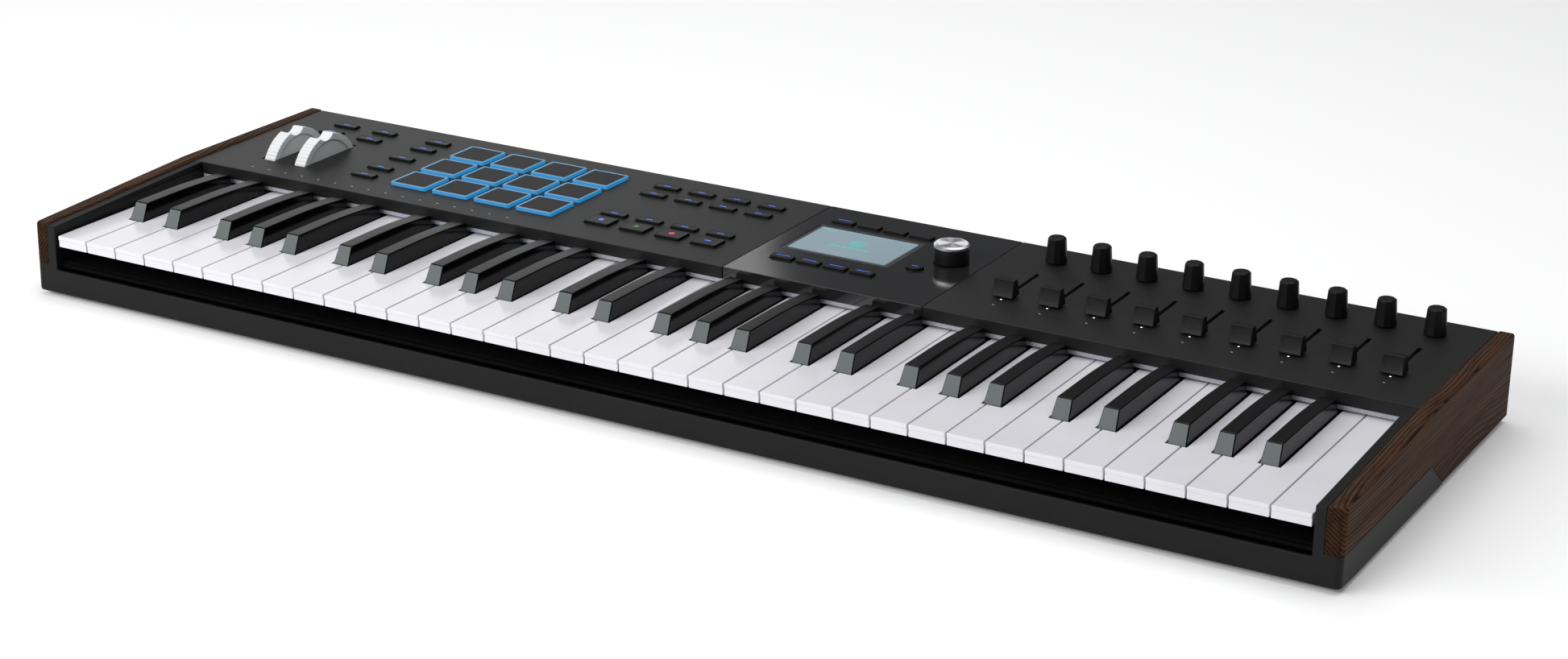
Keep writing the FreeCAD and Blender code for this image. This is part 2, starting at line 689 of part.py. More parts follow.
def fader(x):
    """A fader cap on its flat stem."""
    y = "panel_y + fader_rest"
    base = f"{panel_top('fader_rest')} + cap_lift"
    cap = doc.addObject("Part::Wedge", "Cap")
    bind(cap, Xmin="-cap_wide / 2", Xmax="cap_wide / 2", X2min="-cap_wide / 2 + 0.3",
         X2max="cap_wide / 2 - 0.3", Ymin="0", Ymax="cap_high", Zmin="-cap_deep / 2",
         Zmax="cap_deep / 2", Z2min="-cap_top_deep / 2", Z2max="cap_top_deep / 2")
    cap.Placement.Rotation = FreeCAD.Rotation(FreeCAD.Vector(1, 0, 0), 90)
    place(cap, x, y, base)
    stem = centred(x, y, "board_top + 2.5", "stem_wide", "stem_deep", f"{base} - board_top")
    return fuse([cap, stem])


def fader_bodies():
    """Nine slide controls on the panel board."""
    bodies = []
    for x in STRIPS:
        y = "panel_y + fader_rest + fader_travel / 2"
        shell = centred(x, y, "board_top", "fader_body_wide",
                        "fader_travel + 2 * fader_body_past", "fader_body_high")
        groove = centred(x, y, "board_top + 1.5", "slot_wide", "fader_travel + stem_deep + 2",
                         "fader_body_high")
        bodies.append(cut(shell, [groove]))
    return group(bodies)


def encoder_bodies():
    """Rotary encoders under the nine knobs and the browse dial."""
    bodies = []
    for x, back in [(x, KNOB_ROW) for x in STRIPS] + [DIAL]:
        y = f"panel_y + {back}"
        shell = centred(x, y, "board_top", "encoder_side", "encoder_side", "encoder_high")
        bore = rod(x, y, "board_top + 0.4", "shaft_radius + running_clear",
                   "encoder_high + overlap")
        bodies.append(cut(shell, [bore]))
    return group(bodies)


def dial_base():
    """Height of the browse dial's foot."""
    return f"({panel_top(DIAL[1])} + dial_lift)"


def encoder_shaft():
    """The browse dial's push shaft."""
    return rod(DIAL[0], f"panel_y + {DIAL[1]}", "board_top + 1.4", "shaft_radius",
               f"{dial_base()} + dial_bore - board_top - 1.4")


def encoder_knob():
    """The browse dial, bored for its shaft."""
    y = f"panel_y + {DIAL[1]}"
    body = rod(DIAL[0], y, dial_base(), "dial_radius", "dial_high")
    bore = rod(DIAL[0], y, f"{dial_base()} - overlap", "shaft_radius + running_clear",
               "dial_bore + overlap + running_clear")
    return cut(body, [bore])


def wheel(x):
    """A performance wheel with a finger notch at its top."""
    disc = rod(f"{x} - wheel_wide / 2", "wheel_y", "wheel_z", "wheel_radius", "wheel_wide", "x")
    bore = rod(f"{x} - wheel_wide", "wheel_y", "wheel_z", "wheel_axle + running_clear",
               "2 * wheel_wide", "x")
    notch = rod(f"{x} - wheel_wide", "wheel_y - dip_forward", "wheel_z + wheel_radius + dip_above",
                "dip_radius", "2 * wheel_wide", "x")
    return cut(disc, [bore, notch])


def wheel_bracket():
    """Three walls on a foot, and the axle that both wheels turn on."""
    first, second = WHEELS["pitch_wheel"], WHEELS["mod_wheel"]
    gap = "(wheel_wide / 2 + wheel_gap)"
    middle = f"(({first}) + ({second})) / 2"
    apart = f"({second}) - ({first})"
    walls = [f"{first} - {gap} - stand_wall", f"{middle} - stand_wall / 2", f"{second} + {gap}"]
    foot_side, wall_side = 10, 8
    pieces = [box(f"{first} - {foot_side}", f"wheel_y - {foot_side + 2}", "floor_top",
                  f"{apart} + {2 * foot_side}", f"{2 * foot_side + 4}", "stand_foot")]
    for x in walls:
        pieces.append(box(x, f"wheel_y - {wall_side}", "floor_top", "stand_wall",
                          f"{2 * wall_side}", "wheel_z + 2 * wheel_axle - floor_top"))
    pieces.append(rod(f"{first} - {gap} - overlap", "wheel_y", "wheel_z", "wheel_axle",
                      f"{apart} + 2 * {gap} + 2 * overlap", "x"))
    return fuse(pieces)


def display_module():
    """The display with its front glass, just under the panel's top."""
    return centred(DISPLAY[0], f"panel_y + {DISPLAY[1]}", "board_top", "display_wide - 0.2",
                   "display_deep - 0.2", f"{panel_top(DISPLAY[1] - 26)} - 0.1 - board_top")


# ---- electronics and fittings

def circuit_boards():
    """Keybed board, main board, and the boards behind the panels with their switches."""
    boards = [
        box("-rail_in + 8", "key_front + 62", "bed_top", "2 * rail_in - 16", "46", "board_thick"),
        box("-110", "rear_y - 95", "floor_top + 4", "230", "55", "board_thick"),
        box("-rail_in + 98", "panel_y + 16", "board_low", "rail_in + centre_left - 106",
            "panel_depth - 28", "board_thick"),
        box("-rail_in + 20", "panel_y + 92", "board_low", "70", "36", "board_thick"),
        box("centre_left + 5", "panel_y + 16", "board_low", "centre_right - centre_left - 10",
            "panel_depth - 28", "board_thick"),
        box("centre_right + 8", "panel_y + 24", "board_low", "rail_in - centre_right - 14",
            "panel_depth - 36", "board_thick"),
    ]
    for x in ("-105", "115"):
        for y in ("rear_y - 90", "rear_y - 45"):
            boards.append(rod(x, y, "floor_top", "post_radius", "4"))
    boards.append(box("-155", "rear_y - 36", "socket_board", "245", "33", "board_thick"))
    for x in ("-150", "-30", "85"):
        boards.append(rod(x, "rear_y - 30", "floor_top", "post_radius",
                          "socket_board - floor_top"))
    return group(boards)


def din_sockets():
    """Two round five-pin sockets in the rear wall."""
    sockets = []
    for x in DIN_SOCKETS:
        neck = rod(x, "rear_y", "socket_z", "din_radius", "din_long", "-y")
        housing = centred(x, "rear_y - wall_thick - 8", "socket_z - din_radius",
                          "2 * din_radius", "16", "2 * din_radius")
        ring = cut(rod(x, "rear_y + 1", "socket_z", "7.1", "10", "-y"),
                   [rod(x, "rear_y + 2", "socket_z", "5.9", "12", "-y")])
        pins = []
        for angle in DIN_PINS:
            across = 4.4 * math.cos(math.radians(angle))
            up = -4.4 * math.sin(math.radians(angle))
            pins.append(rod(f"{x} + {across:.3f}", "rear_y + 1", f"socket_z + {up:.3f}",
                            "0.8", "9", "-y"))
        sockets.append(cut(fuse([neck, housing]), [ring] + pins))
    return group(sockets)


def jack_sockets():
    """Four pedal jacks in the rear wall."""
    sockets = []
    for x in JACKS:
        nut = rod(x, "rear_y", "socket_z", "nut_radius", "wall_thick", "-y")
        shell = centred(x, "rear_y - wall_thick - jack_long / 2", "socket_z - din_radius",
                        "jack_wide", "jack_long", "din_radius + jack_wide / 2")
        bore = rod(x, "rear_y + overlap", "socket_z", "jack_bore", "jack_deep + overlap", "-y")
        sockets.append(cut(fuse([nut, shell]), [bore]))
    return group(sockets)


def usb_socket():
    """A square data socket with its tongue."""
    left, depth = f"{USB_X} - usb_wide / 2", "10"
    shell = box(left, "rear_y - usb_long", "socket_z - usb_high / 2", "usb_wide", "usb_long",
                "usb_high")
    space = centred(USB_X, f"rear_y - ({depth} - overlap) / 2", "socket_z - usb_high / 2 + usb_wall",
                    "usb_wide - 2 * usb_wall", f"{depth} + overlap", "usb_high - 2 * usb_wall")
    tongue = box(f"{USB_X} - 2.8", f"rear_y - {depth} - overlap", "socket_z - 1.6", "5.6",
                 depth, "3.2")
    base = box(left, "rear_y - usb_long", "socket_z - din_radius", "usb_wide",
               "usb_long - 0.5 - wall_thick", "din_radius - usb_high / 2 + 0.5")
    return fuse([cut(shell, [space]), tongue, base])


def rubber_feet():
    """Four round feet."""
    return group([rod(f"{sx} * (rail_in - 40)", f"{sy} * (rear_y - 28)", "0", "foot_radius",
                      "base_gap") for sx, sy in FEET])


def case_screws():
    """Pan-head screws up through the floor."""
    screws = []
    for side, end in SCREWS:
        x, y = screw_place(side, end)
        head = rod(x, y, "base_gap - screw_head", "screw_radius * 2", "screw_head")
        shank = rod(x, y, "base_gap - overlap", "screw_radius", "screw_long")
        screws.append(fuse([head, shank]))
    return group(screws)


# ---- the whole keyboard

node("lower_case", lower_case())
node("wood_cheek_left", cheek("-half_width", -1))
node("wood_cheek_right", cheek("cheek_in", 1))
node("panel_left", panel_left())
node("panel_centre", panel_centre())
node("panel_right", panel_right())
node("keybed_chassis", keybed_chassis())
node("key_felts", key_felts())
node("key_springs", key_springs())
make_keys()
for set_name in BUTTON_SETS:
    node(set_name, buttons(set_name))
node("pads", pads())
node("pad_light_frames", pad_light_frames())
for number, strip in enumerate(STRIPS, 1):
    node(f"knob_{number}", knob(strip))
    node(f"fader_{number}", fader(strip))
node("fader_bodies", fader_bodies())
node("encoder_bodies", encoder_bodies())
node("encoder_shaft", encoder_shaft())
node("encoder_knob", encoder_knob())
for wheel_name, wheel_x in WHEELS.items():
    node(wheel_name, wheel(wheel_x))
node("wheel_bracket", wheel_bracket())
node("display_module", display_module())
node("circuit_boards", circuit_boards())
node("din_sockets", din_sockets())
node("jack_sockets", jack_sockets())
node("usb_socket", usb_socket())
node("rubber_feet", rubber_feet())
node("case_screws", case_screws())

doc.recompute()

for obj in doc.Objects:
    for word in ("Invalid", "Error"):
        if word in obj.State:
            raise RuntimeError(f"{obj.Name} ({obj.Label}) is {obj.State}")

os.makedirs("parts", exist_ok=True)
for name, obj in NODES.items():
    shape = obj.Shape
    if shape.isNull() or not shape.isValid() or not shape.Solids:
        raise RuntimeError(f"{name} has no valid solid")
    shape.exportStep(f"parts/{name}.step")
print(f"{len(NODES)} sub-parts written")
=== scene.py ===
# %% [markdown]
# # A controller keyboard around its fixed frame
# The keyboard comes in as a imported model: every part already has its place and size, and
# the moving parts hang on bodies. This lesson gives each visible part its finish: softened
# edges, wood, paint, polished keys, lit pads and a display. First the frame is loaded.

# %% Load the frame
import json
import math

import bpy
from mathutils import Matrix, Vector


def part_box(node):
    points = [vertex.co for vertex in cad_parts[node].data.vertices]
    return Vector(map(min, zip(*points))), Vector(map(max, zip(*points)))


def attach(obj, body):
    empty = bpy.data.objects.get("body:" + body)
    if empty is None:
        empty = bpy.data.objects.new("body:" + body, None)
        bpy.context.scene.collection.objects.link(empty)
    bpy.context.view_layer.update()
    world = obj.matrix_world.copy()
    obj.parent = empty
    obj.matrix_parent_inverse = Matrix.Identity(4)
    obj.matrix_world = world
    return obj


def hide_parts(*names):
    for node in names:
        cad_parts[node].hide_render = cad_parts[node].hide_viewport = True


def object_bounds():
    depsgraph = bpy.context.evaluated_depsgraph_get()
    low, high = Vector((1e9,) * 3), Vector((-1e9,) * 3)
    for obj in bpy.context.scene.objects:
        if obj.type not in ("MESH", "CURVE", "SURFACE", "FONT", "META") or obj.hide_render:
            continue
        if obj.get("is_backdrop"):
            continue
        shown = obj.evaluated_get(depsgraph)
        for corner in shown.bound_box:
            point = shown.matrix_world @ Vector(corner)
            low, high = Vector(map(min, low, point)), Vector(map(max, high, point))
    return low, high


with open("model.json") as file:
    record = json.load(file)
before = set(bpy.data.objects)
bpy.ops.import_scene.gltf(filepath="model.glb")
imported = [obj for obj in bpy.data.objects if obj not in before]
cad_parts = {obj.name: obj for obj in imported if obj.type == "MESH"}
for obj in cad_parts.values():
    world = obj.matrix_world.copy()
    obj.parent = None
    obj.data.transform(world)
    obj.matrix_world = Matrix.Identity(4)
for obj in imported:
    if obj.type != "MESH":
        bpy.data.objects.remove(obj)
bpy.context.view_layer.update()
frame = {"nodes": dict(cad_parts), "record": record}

NODES = frame["nodes"]
BODY_OF = {n: body for body, names in frame["record"]["behaviour"]["bodies"].items() for n in names}
SLOT_OF = {s["node"]: s["material_slot"] for s in frame["record"]["subparts"]}
MM = 0.001          # a millimetre, in the frame's metres

# %% [markdown]
# ## The camera and the light
# The keyboard is seen from its treble end, a little above. A long lens from about two
# metres keeps the rows of keys nearly parallel. The background is a pale sweep: one plane
# that runs past the frame on every side. Three soft boxes light it: a large one overhead,
# one at the back left that draws a sheen on the dark panels, and one at the front left
# that reaches the fronts of the keys and of the case.

# %% Camera
CAMERA_AT = Vector((0.8935, -1.5419, 0.6709))
HEADING = math.radians(28.82)
DOWNWARD = math.radians(20.14)
ROLL = math.radians(-1.11)
LENS = 70.65
SHIFT = -0.0137
FAR = 50            # metres, past the sweep's edge

forward = Vector((-math.sin(HEADING) * math.cos(DOWNWARD),
                  math.cos(HEADING) * math.cos(DOWNWARD), -math.sin(DOWNWARD)))
across = Vector((math.cos(HEADING), math.sin(HEADING), 0))
below = forward.cross(across)
right = math.cos(ROLL) * across + math.sin(ROLL) * below
down = -math.sin(ROLL) * across + math.cos(ROLL) * below
bpy.ops.object.camera_add(location=CAMERA_AT)
camera = bpy.context.object
camera.rotation_mode = "QUATERNION"
camera.rotation_quaternion = Matrix((right, -down, -forward)).transposed().to_quaternion()
camera.data.lens = LENS
camera.data.shift_x = SHIFT
camera.data.clip_end = FAR
bpy.context.scene.camera = camera
print("camera", [round(v, 3) for v in camera.location], "lens", camera.data.lens)

# %% Lights and sweep
bpy.context.scene.view_settings.view_transform = "Standard"


def soft_box(name, place, aim, wide, high, power):
    """An area light at place that faces aim."""
    bpy.ops.object.light_add(type="AREA", location=place)
    lamp = bpy.context.object
    lamp.name = name
    lamp.data.shape = "RECTANGLE"
    lamp.data.size = wide
    lamp.data.size_y = high
    lamp.data.energy = power
    lamp.rotation_euler = (Vector(aim) - Vector(place)).to_track_quat("-Z", "Y").to_euler()
    return lamp


soft_box("overhead_box", (0.2, 0.3, 2.4), (0, 0, 0), 3.2, 2.4, 48)
soft_box("back_left_box", (-2.6, 2.4, 1.0), (-0.2, 0, 0), 2.2, 1.6, 12)
soft_box("front_left_box", (-0.95, -1.8, 1.2), (0, 0, 0), 2.4, 0.9, 44)

world = bpy.data.worlds.new("studio")
world.use_nodes = True
world.node_tree.nodes["Background"].inputs["Color"].default_value = (0.93, 0.95, 1.0, 1)
world.node_tree.nodes["Background"].inputs["Strength"].default_value = 0.12
bpy.context.scene.world = world

bpy.ops.mesh.primitive_plane_add(size=14, location=(0, 0, 0))
sweep = bpy.context.object
sweep.name = "sweep"
sweep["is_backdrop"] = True
sweep_paint = bpy.data.materials.new("sweep_paint")
sweep_paint.use_nodes = True
paint = sweep_paint.node_tree.nodes["Principled BSDF"]
paint.inputs["Base Color"].default_value = (0.96, 0.96, 0.96, 1)
paint.inputs["Roughness"].default_value = 0.9
paint.inputs["Specular IOR Level"].default_value = 0.1
paint.inputs["Emission Color"].default_value = (1, 1, 1, 1)
paint.inputs["Emission Strength"].default_value = 0.1
sweep.data.materials.append(sweep_paint)
print("three soft boxes over a pale sweep")

# %% [markdown]
# ## Materials
# Each finish is a small node tree on Object coordinates, which are metres in the frame, so
# a grain of half a millimetre is a noise scale of about two thousand. A helper makes the
# shader, and small helpers add noise, colour ramps and bump. Another tells which way a face
# looks, for finishes that differ between the top and the sides of a piece, and for a painted
# sheen or a painted reflection on the faces that look one way.

# %% Helpers for node trees
def finish_named(name, colour, roughness, **sockets):
    """A new material: its node tree and its main shader."""
    made = bpy.data.materials.new(name)
    made.use_nodes = True
    tree = made.node_tree
    shader = tree.nodes["Principled BSDF"]
    shader.inputs["Base Color"].default_value = (*colour, 1)
    shader.inputs["Roughness"].default_value = roughness
    for socket, value in sockets.items():
        shader.inputs[socket.replace("_", " ")].default_value = value
    return made, tree, shader


def object_space(tree, scale=(1, 1, 1), offset=(0, 0, 0), turn=(0, 0, 0)):
    """Object coordinates through a Mapping node."""
    source = tree.nodes.new("ShaderNodeTexCoord")
    mapping = tree.nodes.new("ShaderNodeMapping")
    mapping.inputs["Scale"].default_value = scale
    mapping.inputs["Location"].default_value = offset
    mapping.inputs["Rotation"].default_value = turn
    tree.links.new(source.outputs["Object"], mapping.inputs["Vector"])
    return mapping.outputs["Vector"]


def noise(tree, vector, scale, detail=3.0, rough=0.5):
    """A noise pattern's value."""
    node = tree.nodes.new("ShaderNodeTexNoise")
    node.inputs["Scale"].default_value = scale
    node.inputs["Detail"].default_value = detail
    node.inputs["Roughness"].default_value = rough
    tree.links.new(vector, node.inputs["Vector"])
    return node.outputs["Fac"]


def ramp(tree, value, *stops):
    """A colour ramp through (position, colour) stops."""
    node = tree.nodes.new("ShaderNodeValToRGB")
    elements = node.color_ramp.elements
    while len(elements) < len(stops):
        elements.new(0.5)
    for element, (position, colour) in zip(elements, stops):
        element.position = position
        element.color = (*colour, 1)
    tree.links.new(value, node.inputs["Fac"])
    return node.outputs["Color"]


def spread(tree, value, low, high, start=0.0, end=1.0):
    """A value between start and end spread over low to high."""
    node = tree.nodes.new("ShaderNodeMapRange")
    node.inputs["From Min"].default_value = start
    node.inputs["From Max"].default_value = end
    node.inputs["To Min"].default_value = low
    node.inputs["To Max"].default_value = high
    tree.links.new(value, node.inputs["Value"])
    return node.outputs["Result"]


def facing(tree):
    """Which way the surface looks: the X, Y and Z of its normal."""
    source = tree.nodes.new("ShaderNodeTexCoord")
    split = tree.nodes.new("ShaderNodeSeparateXYZ")
    tree.links.new(source.outputs["Normal"], split.inputs["Vector"])
    return split.outputs


def bump(tree, shader, height, depth):
    """A bump on the shader from a height pattern, depth in metres."""
    node = tree.nodes.new("ShaderNodeBump")
    node.inputs["Distance"].default_value = depth
    node.inputs["Strength"].default_value = 1.0
    tree.links.new(height, node.inputs["Height"])
    tree.links.new(node.outputs["Normal"], shader.inputs["Normal"])


# %% Textured plastics, paints and rubbers
def grained(name, dark, light, grain, rough_low, rough_high, depth, **sockets):
    """A moulded or painted finish: two close tones, a fine grain, and uneven gloss."""
    made, tree, shader = finish_named(name, dark, rough_low, **sockets)
    space = object_space(tree)
    clouds = noise(tree, space, 14, 4)
    tree.links.new(ramp(tree, clouds, (0.3, dark), (0.7, light)), shader.inputs["Base Color"])
    fine = noise(tree, space, grain, 2)
    tree.links.new(spread(tree, fine, rough_low, rough_high), shader.inputs["Roughness"])
    bump(tree, shader, fine, depth)
    return made


FINISHES = {
    "case_plastic": grained("case_plastic", (0.004, 0.004, 0.004), (0.006, 0.006, 0.006),
                            1800, 0.45, 0.6, 0.00004, Specular_IOR_Level=0.2),
    "panel_paint": grained("panel_paint", (0.006, 0.006, 0.006), (0.008, 0.008, 0.008),
                           2400, 0.42, 0.55, 0.00003, Specular_IOR_Level=0.3),
    "gloss_panel": grained("gloss_panel", (0.013, 0.013, 0.0135), (0.015, 0.015, 0.0155),
                           2400, 0.10, 0.13, 0.000002),
    "inner_plastic": grained("inner_plastic", (0.02, 0.02, 0.02), (0.03, 0.03, 0.03),
                             900, 0.5, 0.7, 0.00005),
    "socket_plastic": grained("socket_plastic", (0.01, 0.01, 0.01), (0.014, 0.014, 0.014),
                              1500, 0.3, 0.45, 0.00003),
    "foot_rubber": grained("foot_rubber", (0.012, 0.012, 0.012), (0.02, 0.02, 0.02),
                           1200, 0.75, 0.9, 0.0001),
    "pad_rubber": grained("pad_rubber", (0.008, 0.008, 0.009), (0.011, 0.011, 0.012),
                          2000, 0.5, 0.62, 0.00004, Specular_IOR_Level=0.2),
    "button_plastic": grained("button_plastic", (0.005, 0.005, 0.0055), (0.007, 0.007, 0.0075),
                              2200, 0.38, 0.48, 0.00002, Specular_IOR_Level=0.2),
    "knob_plastic": grained("knob_plastic", (0.004, 0.004, 0.004), (0.006, 0.006, 0.006),
                            2000, 0.38, 0.5, 0.00002, Specular_IOR_Level=0.2),
    "fader_plastic": grained("fader_plastic", (0.004, 0.004, 0.004), (0.006, 0.006, 0.006),
                             2000, 0.38, 0.5, 0.00002, Specular_IOR_Level=0.2),
    "wheel_plastic": grained("wheel_plastic", (0.74, 0.75, 0.75), (0.80, 0.81, 0.81),
                             1600, 0.35, 0.5, 0.00002),
    "circuit_board": grained("circuit_board", (0.01, 0.09, 0.035), (0.015, 0.13, 0.05),
                             300, 0.3, 0.4, 0.00003),
}
print(len(FINISHES), "moulded and painted finishes")

# %% Metals
BRUSH = 1500        # brush lines in a metre
LONG_BRUSH = 0.03   # how much slower they change along their length


def metal(name, colour, rough_low, rough_high):
    """Bare metal with fine brush lines along X."""
    made, tree, shader = finish_named(name, colour, rough_low, Metallic=1.0)
    lines = noise(tree, object_space(tree, (BRUSH * LONG_BRUSH, BRUSH, BRUSH)), 1, 3)
    tree.links.new(spread(tree, lines, rough_low, rough_high), shader.inputs["Roughness"])
    bump(tree, shader, lines, 0.00003)
    return made


FINISHES["spring_steel"] = metal("spring_steel", (0.5, 0.5, 0.5), 0.3, 0.4)
FINISHES["control_metal"] = metal("control_metal", (0.55, 0.55, 0.57), 0.3, 0.45)
FINISHES["socket_metal"] = metal("socket_metal", (0.6, 0.6, 0.6), 0.25, 0.4)
FINISHES["screw_steel"] = metal("screw_steel", (0.06, 0.06, 0.06), 0.35, 0.5)
print("metals added")

# %% Dark walnut
RINGS = 520               # growth rings in a metre
PITH_SIDE = 0.365         # the line they grow round: its distance from the middle,
PITH_UP = -0.03           # and its height
STRAY = 0.07              # how far the rings stray along a board
RIPPLE = 0.0015           # and how far each of them ripples


def walnut():
    """Dark wood: growth rings round a line under the board, with long fine pores."""
    made, tree, shader = finish_named("walnut", (0.06, 0.035, 0.024), 0.5,
                                      Specular_IOR_Level=0.06)
    links = tree.links
    space = object_space(tree)
    wander = noise(tree, object_space(tree, (3, 2.2, 3)), 2.2, 1)
    ripple = noise(tree, object_space(tree, (90, 4, 90)), 1, 2)
    split = tree.nodes.new("ShaderNodeSeparateXYZ")
    links.new(space, split.inputs["Vector"])

    def math_node(kind, first, second):
        made_node = tree.nodes.new("ShaderNodeMath")
        made_node.operation = kind
        for socket, value in zip(made_node.inputs, (first, second)):
            if isinstance(value, (int, float)):
                socket.default_value = value
            else:
                links.new(value, socket)
        return made_node.outputs["Value"]

    side = math_node("ABSOLUTE", split.outputs["X"], 0)
    across = math_node("ADD", math_node("SUBTRACT", side, PITH_SIDE),
                       math_node("MULTIPLY", ripple, RIPPLE))
    rise = math_node("ADD", math_node("SUBTRACT", split.outputs["Z"], PITH_UP),
                     math_node("MULTIPLY", math_node("SUBTRACT", wander, 0.5), STRAY))
    radius = math_node("SQRT", math_node("ADD", math_node("MULTIPLY", across, across),
                                         math_node("MULTIPLY", rise, rise)), 0)
    rings = math_node("FRACT", math_node("MULTIPLY", radius, RINGS), 0)
    grain = ramp(tree, rings, (0.0, (0.092, 0.041, 0.019)), (0.5, (0.066, 0.029, 0.013)),
                 (0.82, (0.012, 0.006, 0.0035)), (1.0, (0.080, 0.036, 0.017)))
    pores = noise(tree, object_space(tree, (1500, 18, 1500)), 1, 2)
    pore_tone = ramp(tree, pores, (0.34, (0.32, 0.30, 0.28)), (0.47, (1, 1, 1)))
    streaks = noise(tree, object_space(tree, (160, 4, 160)), 1, 3)
    streak_tone = ramp(tree, streaks, (0.3, (0.72, 0.70, 0.68)), (0.7, (1.25, 1.25, 1.25)))
    looks = facing(tree)
    end_tone = ramp(tree, math_node("ABSOLUTE", looks["Y"], 0),
                    (0.6, (1, 1, 1)), (0.9, (0.5, 0.48, 0.46)))
    # Painted sheen: faces that look up are made greyer and bluer, where the soft box overhead would
    # glint on them.
    painted_sheen_tone = ramp(tree, looks["Z"], (0.6, (1, 1, 1)), (0.9, (0.85, 0.98, 1.2)))
    colour = grain
    for tone in (pore_tone, streak_tone, end_tone, painted_sheen_tone):
        mix = tree.nodes.new("ShaderNodeMix")
        mix.data_type = "RGBA"
        mix.blend_type = "MULTIPLY"
        mix.inputs["Factor"].default_value = 1
        links.new(colour, mix.inputs["A"])
        links.new(tone, mix.inputs["B"])
        colour = mix.outputs["Result"]
    links.new(colour, shader.inputs["Base Color"])
    links.new(spread(tree, pores, 0.75, 0.5), shader.inputs["Roughness"])
    bump(tree, shader, pores, 0.00006)
    return made


FINISHES["walnut"] = walnut()
print("walnut with rings about", round(1000 / RINGS, 1), "mm apart")

# %% Polished keys, felt and lights
def polished(name, colour, roughness, top_roughness, wave, depth, **sockets):
    """Polished plastic: hard gloss on its sides, a more worn and satin gloss on its top."""
    made, tree, shader = finish_named(name, colour, roughness, **sockets)
    space = object_space(tree)
    clouds = noise(tree, space, wave, 2)
    lighter = tuple(min(1, channel * 1.05) for channel in colour)
    tree.links.new(ramp(tree, clouds, (0.3, colour), (0.7, lighter)), shader.inputs["Base Color"])
    worn = spread(tree, facing(tree)["Z"], roughness, top_roughness, 0.75, 0.97)
    tree.links.new(worn, shader.inputs["Roughness"])
    bump(tree, shader, noise(tree, space, 1500, 2), depth)
    return made


FINISHES["white_key"] = polished("white_key", (0.71, 0.70, 0.74), 0.16, 0.2, 25, 0.000001)
FINISHES["black_key"] = polished("black_key", (0.002, 0.002, 0.0022), 0.12, 0.36, 30, 0.000002,
                                 Specular_IOR_Level=0.18)


def painted_front_reflection(material, colour):
    """The faces that look forwards get a paler, green grey colour: a painted reflection of the soft
    box in front of the keys.
    """
    tree = material.node_tree
    shader = tree.nodes["Principled BSDF"]
    body = shader.inputs["Base Color"].links[0].from_socket
    forwards = spread(tree, facing(tree)["Y"], 0, 1, -0.80, -0.86)
    mix = tree.nodes.new("ShaderNodeMix")
    mix.data_type = "RGBA"
    mix.inputs["B"].default_value = (*colour, 1)
    tree.links.new(forwards, mix.inputs["Factor"])
    tree.links.new(body, mix.inputs["A"])
    tree.links.new(mix.outputs["Result"], shader.inputs["Base Color"])


# Painted reflection: the forward faces of the black keys are painted paler than the rest.
painted_front_reflection(FINISHES["black_key"], (0.060, 0.078, 0.074))


def felt():
    """Pressed grey felt: tangled short fibres and a soft sheen."""
    made, tree, shader = finish_named("felt", (0.42, 0.42, 0.47), 0.95, Sheen_Weight=0.4)
    space = object_space(tree)
    fibres = noise(tree, space, 900, 6, 0.7)
    tree.links.new(ramp(tree, fibres, (0.3, (0.30, 0.30, 0.36)), (0.7, (0.55, 0.55, 0.60))),
                   shader.inputs["Base Color"])
    bump(tree, shader, fibres, 0.0003)
    return made


FINISHES["felt"] = felt()


def glowing(name, colour, strength, body=(0.3, 0.4, 0.5)):
    """A lit translucent plastic, a little uneven from place to place."""
    made, tree, shader = finish_named(name, body, 0.35)
    uneven = noise(tree, object_space(tree), 60, 2)
    tree.links.new(ramp(tree, uneven, (0.3, tuple(0.85 * c for c in colour)), (0.7, colour)),
                   shader.inputs["Emission Color"])
    shader.inputs["Emission Strength"].default_value = strength
    return made


FINISHES["light_frame"] = glowing("light_frame", (0.20, 0.45, 1.0), 0.8)
FINISHES["display_glass"] = glowing("display_glass", (0.62, 0.70, 0.80), 0.55)
DARK = (0.01, 0.01, 0.02)
GLOW_TEAL = glowing("glow_teal", (0.02, 0.62, 0.56), 1.0, DARK)
GLOW_BLUE = glowing("glow_blue", (0.06, 0.17, 0.95), 1.0, DARK)
GLOW_GREEN = glowing("glow_green", (0.01, 0.30, 0.05), 1.0, DARK)
GLOW_RED = glowing("glow_red", (0.65, 0.01, 0.03), 1.0, DARK)
GLOW_WHITE = glowing("glow_white", (1.0, 1.0, 1.0), 1.4)
# The white print is no lamp: its faint glow is painted light that makes it brighter.
PRINT_WITH_PAINTED_GLOW = glowing("print_painted_glow", (0.6, 0.6, 0.6), 0.12, (0.5, 0.5, 0.5))
FINISHES["dial_metal"] = metal("dial_metal", (0.62, 0.62, 0.64), 0.18, 0.3)
FINISHES["keybed_steel"] = grained("keybed_steel", (0.002, 0.002, 0.002),
                                   (0.003, 0.003, 0.003), 900, 0.75, 0.9, 0.00005,
                                   Specular_IOR_Level=0.08)
BLACK_FELT = grained("black_felt", (0.0015, 0.0015, 0.0015), (0.003, 0.003, 0.003),
                     900, 0.9, 1.0, 0.0003, Specular_IOR_Level=0.05)
GLASS = grained("glass", (0.05, 0.055, 0.06), (0.055, 0.06, 0.065), 30, 0.08, 0.1, 0.000001)
print("keys, felt and lights added")


# %% Light frames, lit pane and spun metal
def rim_light():
    """Clear plastic lit from inside: pale where it faces up, deep blue on its outer slope."""
    made, tree, shader = finish_named("rim_light", (0.05, 0.13, 0.20), 0.3)
    colour = ramp(tree, facing(tree)["Z"], (0.55, (0.006, 0.23, 0.56)),
                  (0.9, (0.10, 0.22, 0.33)))
    tree.links.new(colour, shader.inputs["Emission Color"])
    shader.inputs["Emission Strength"].default_value = 0.75
    return made


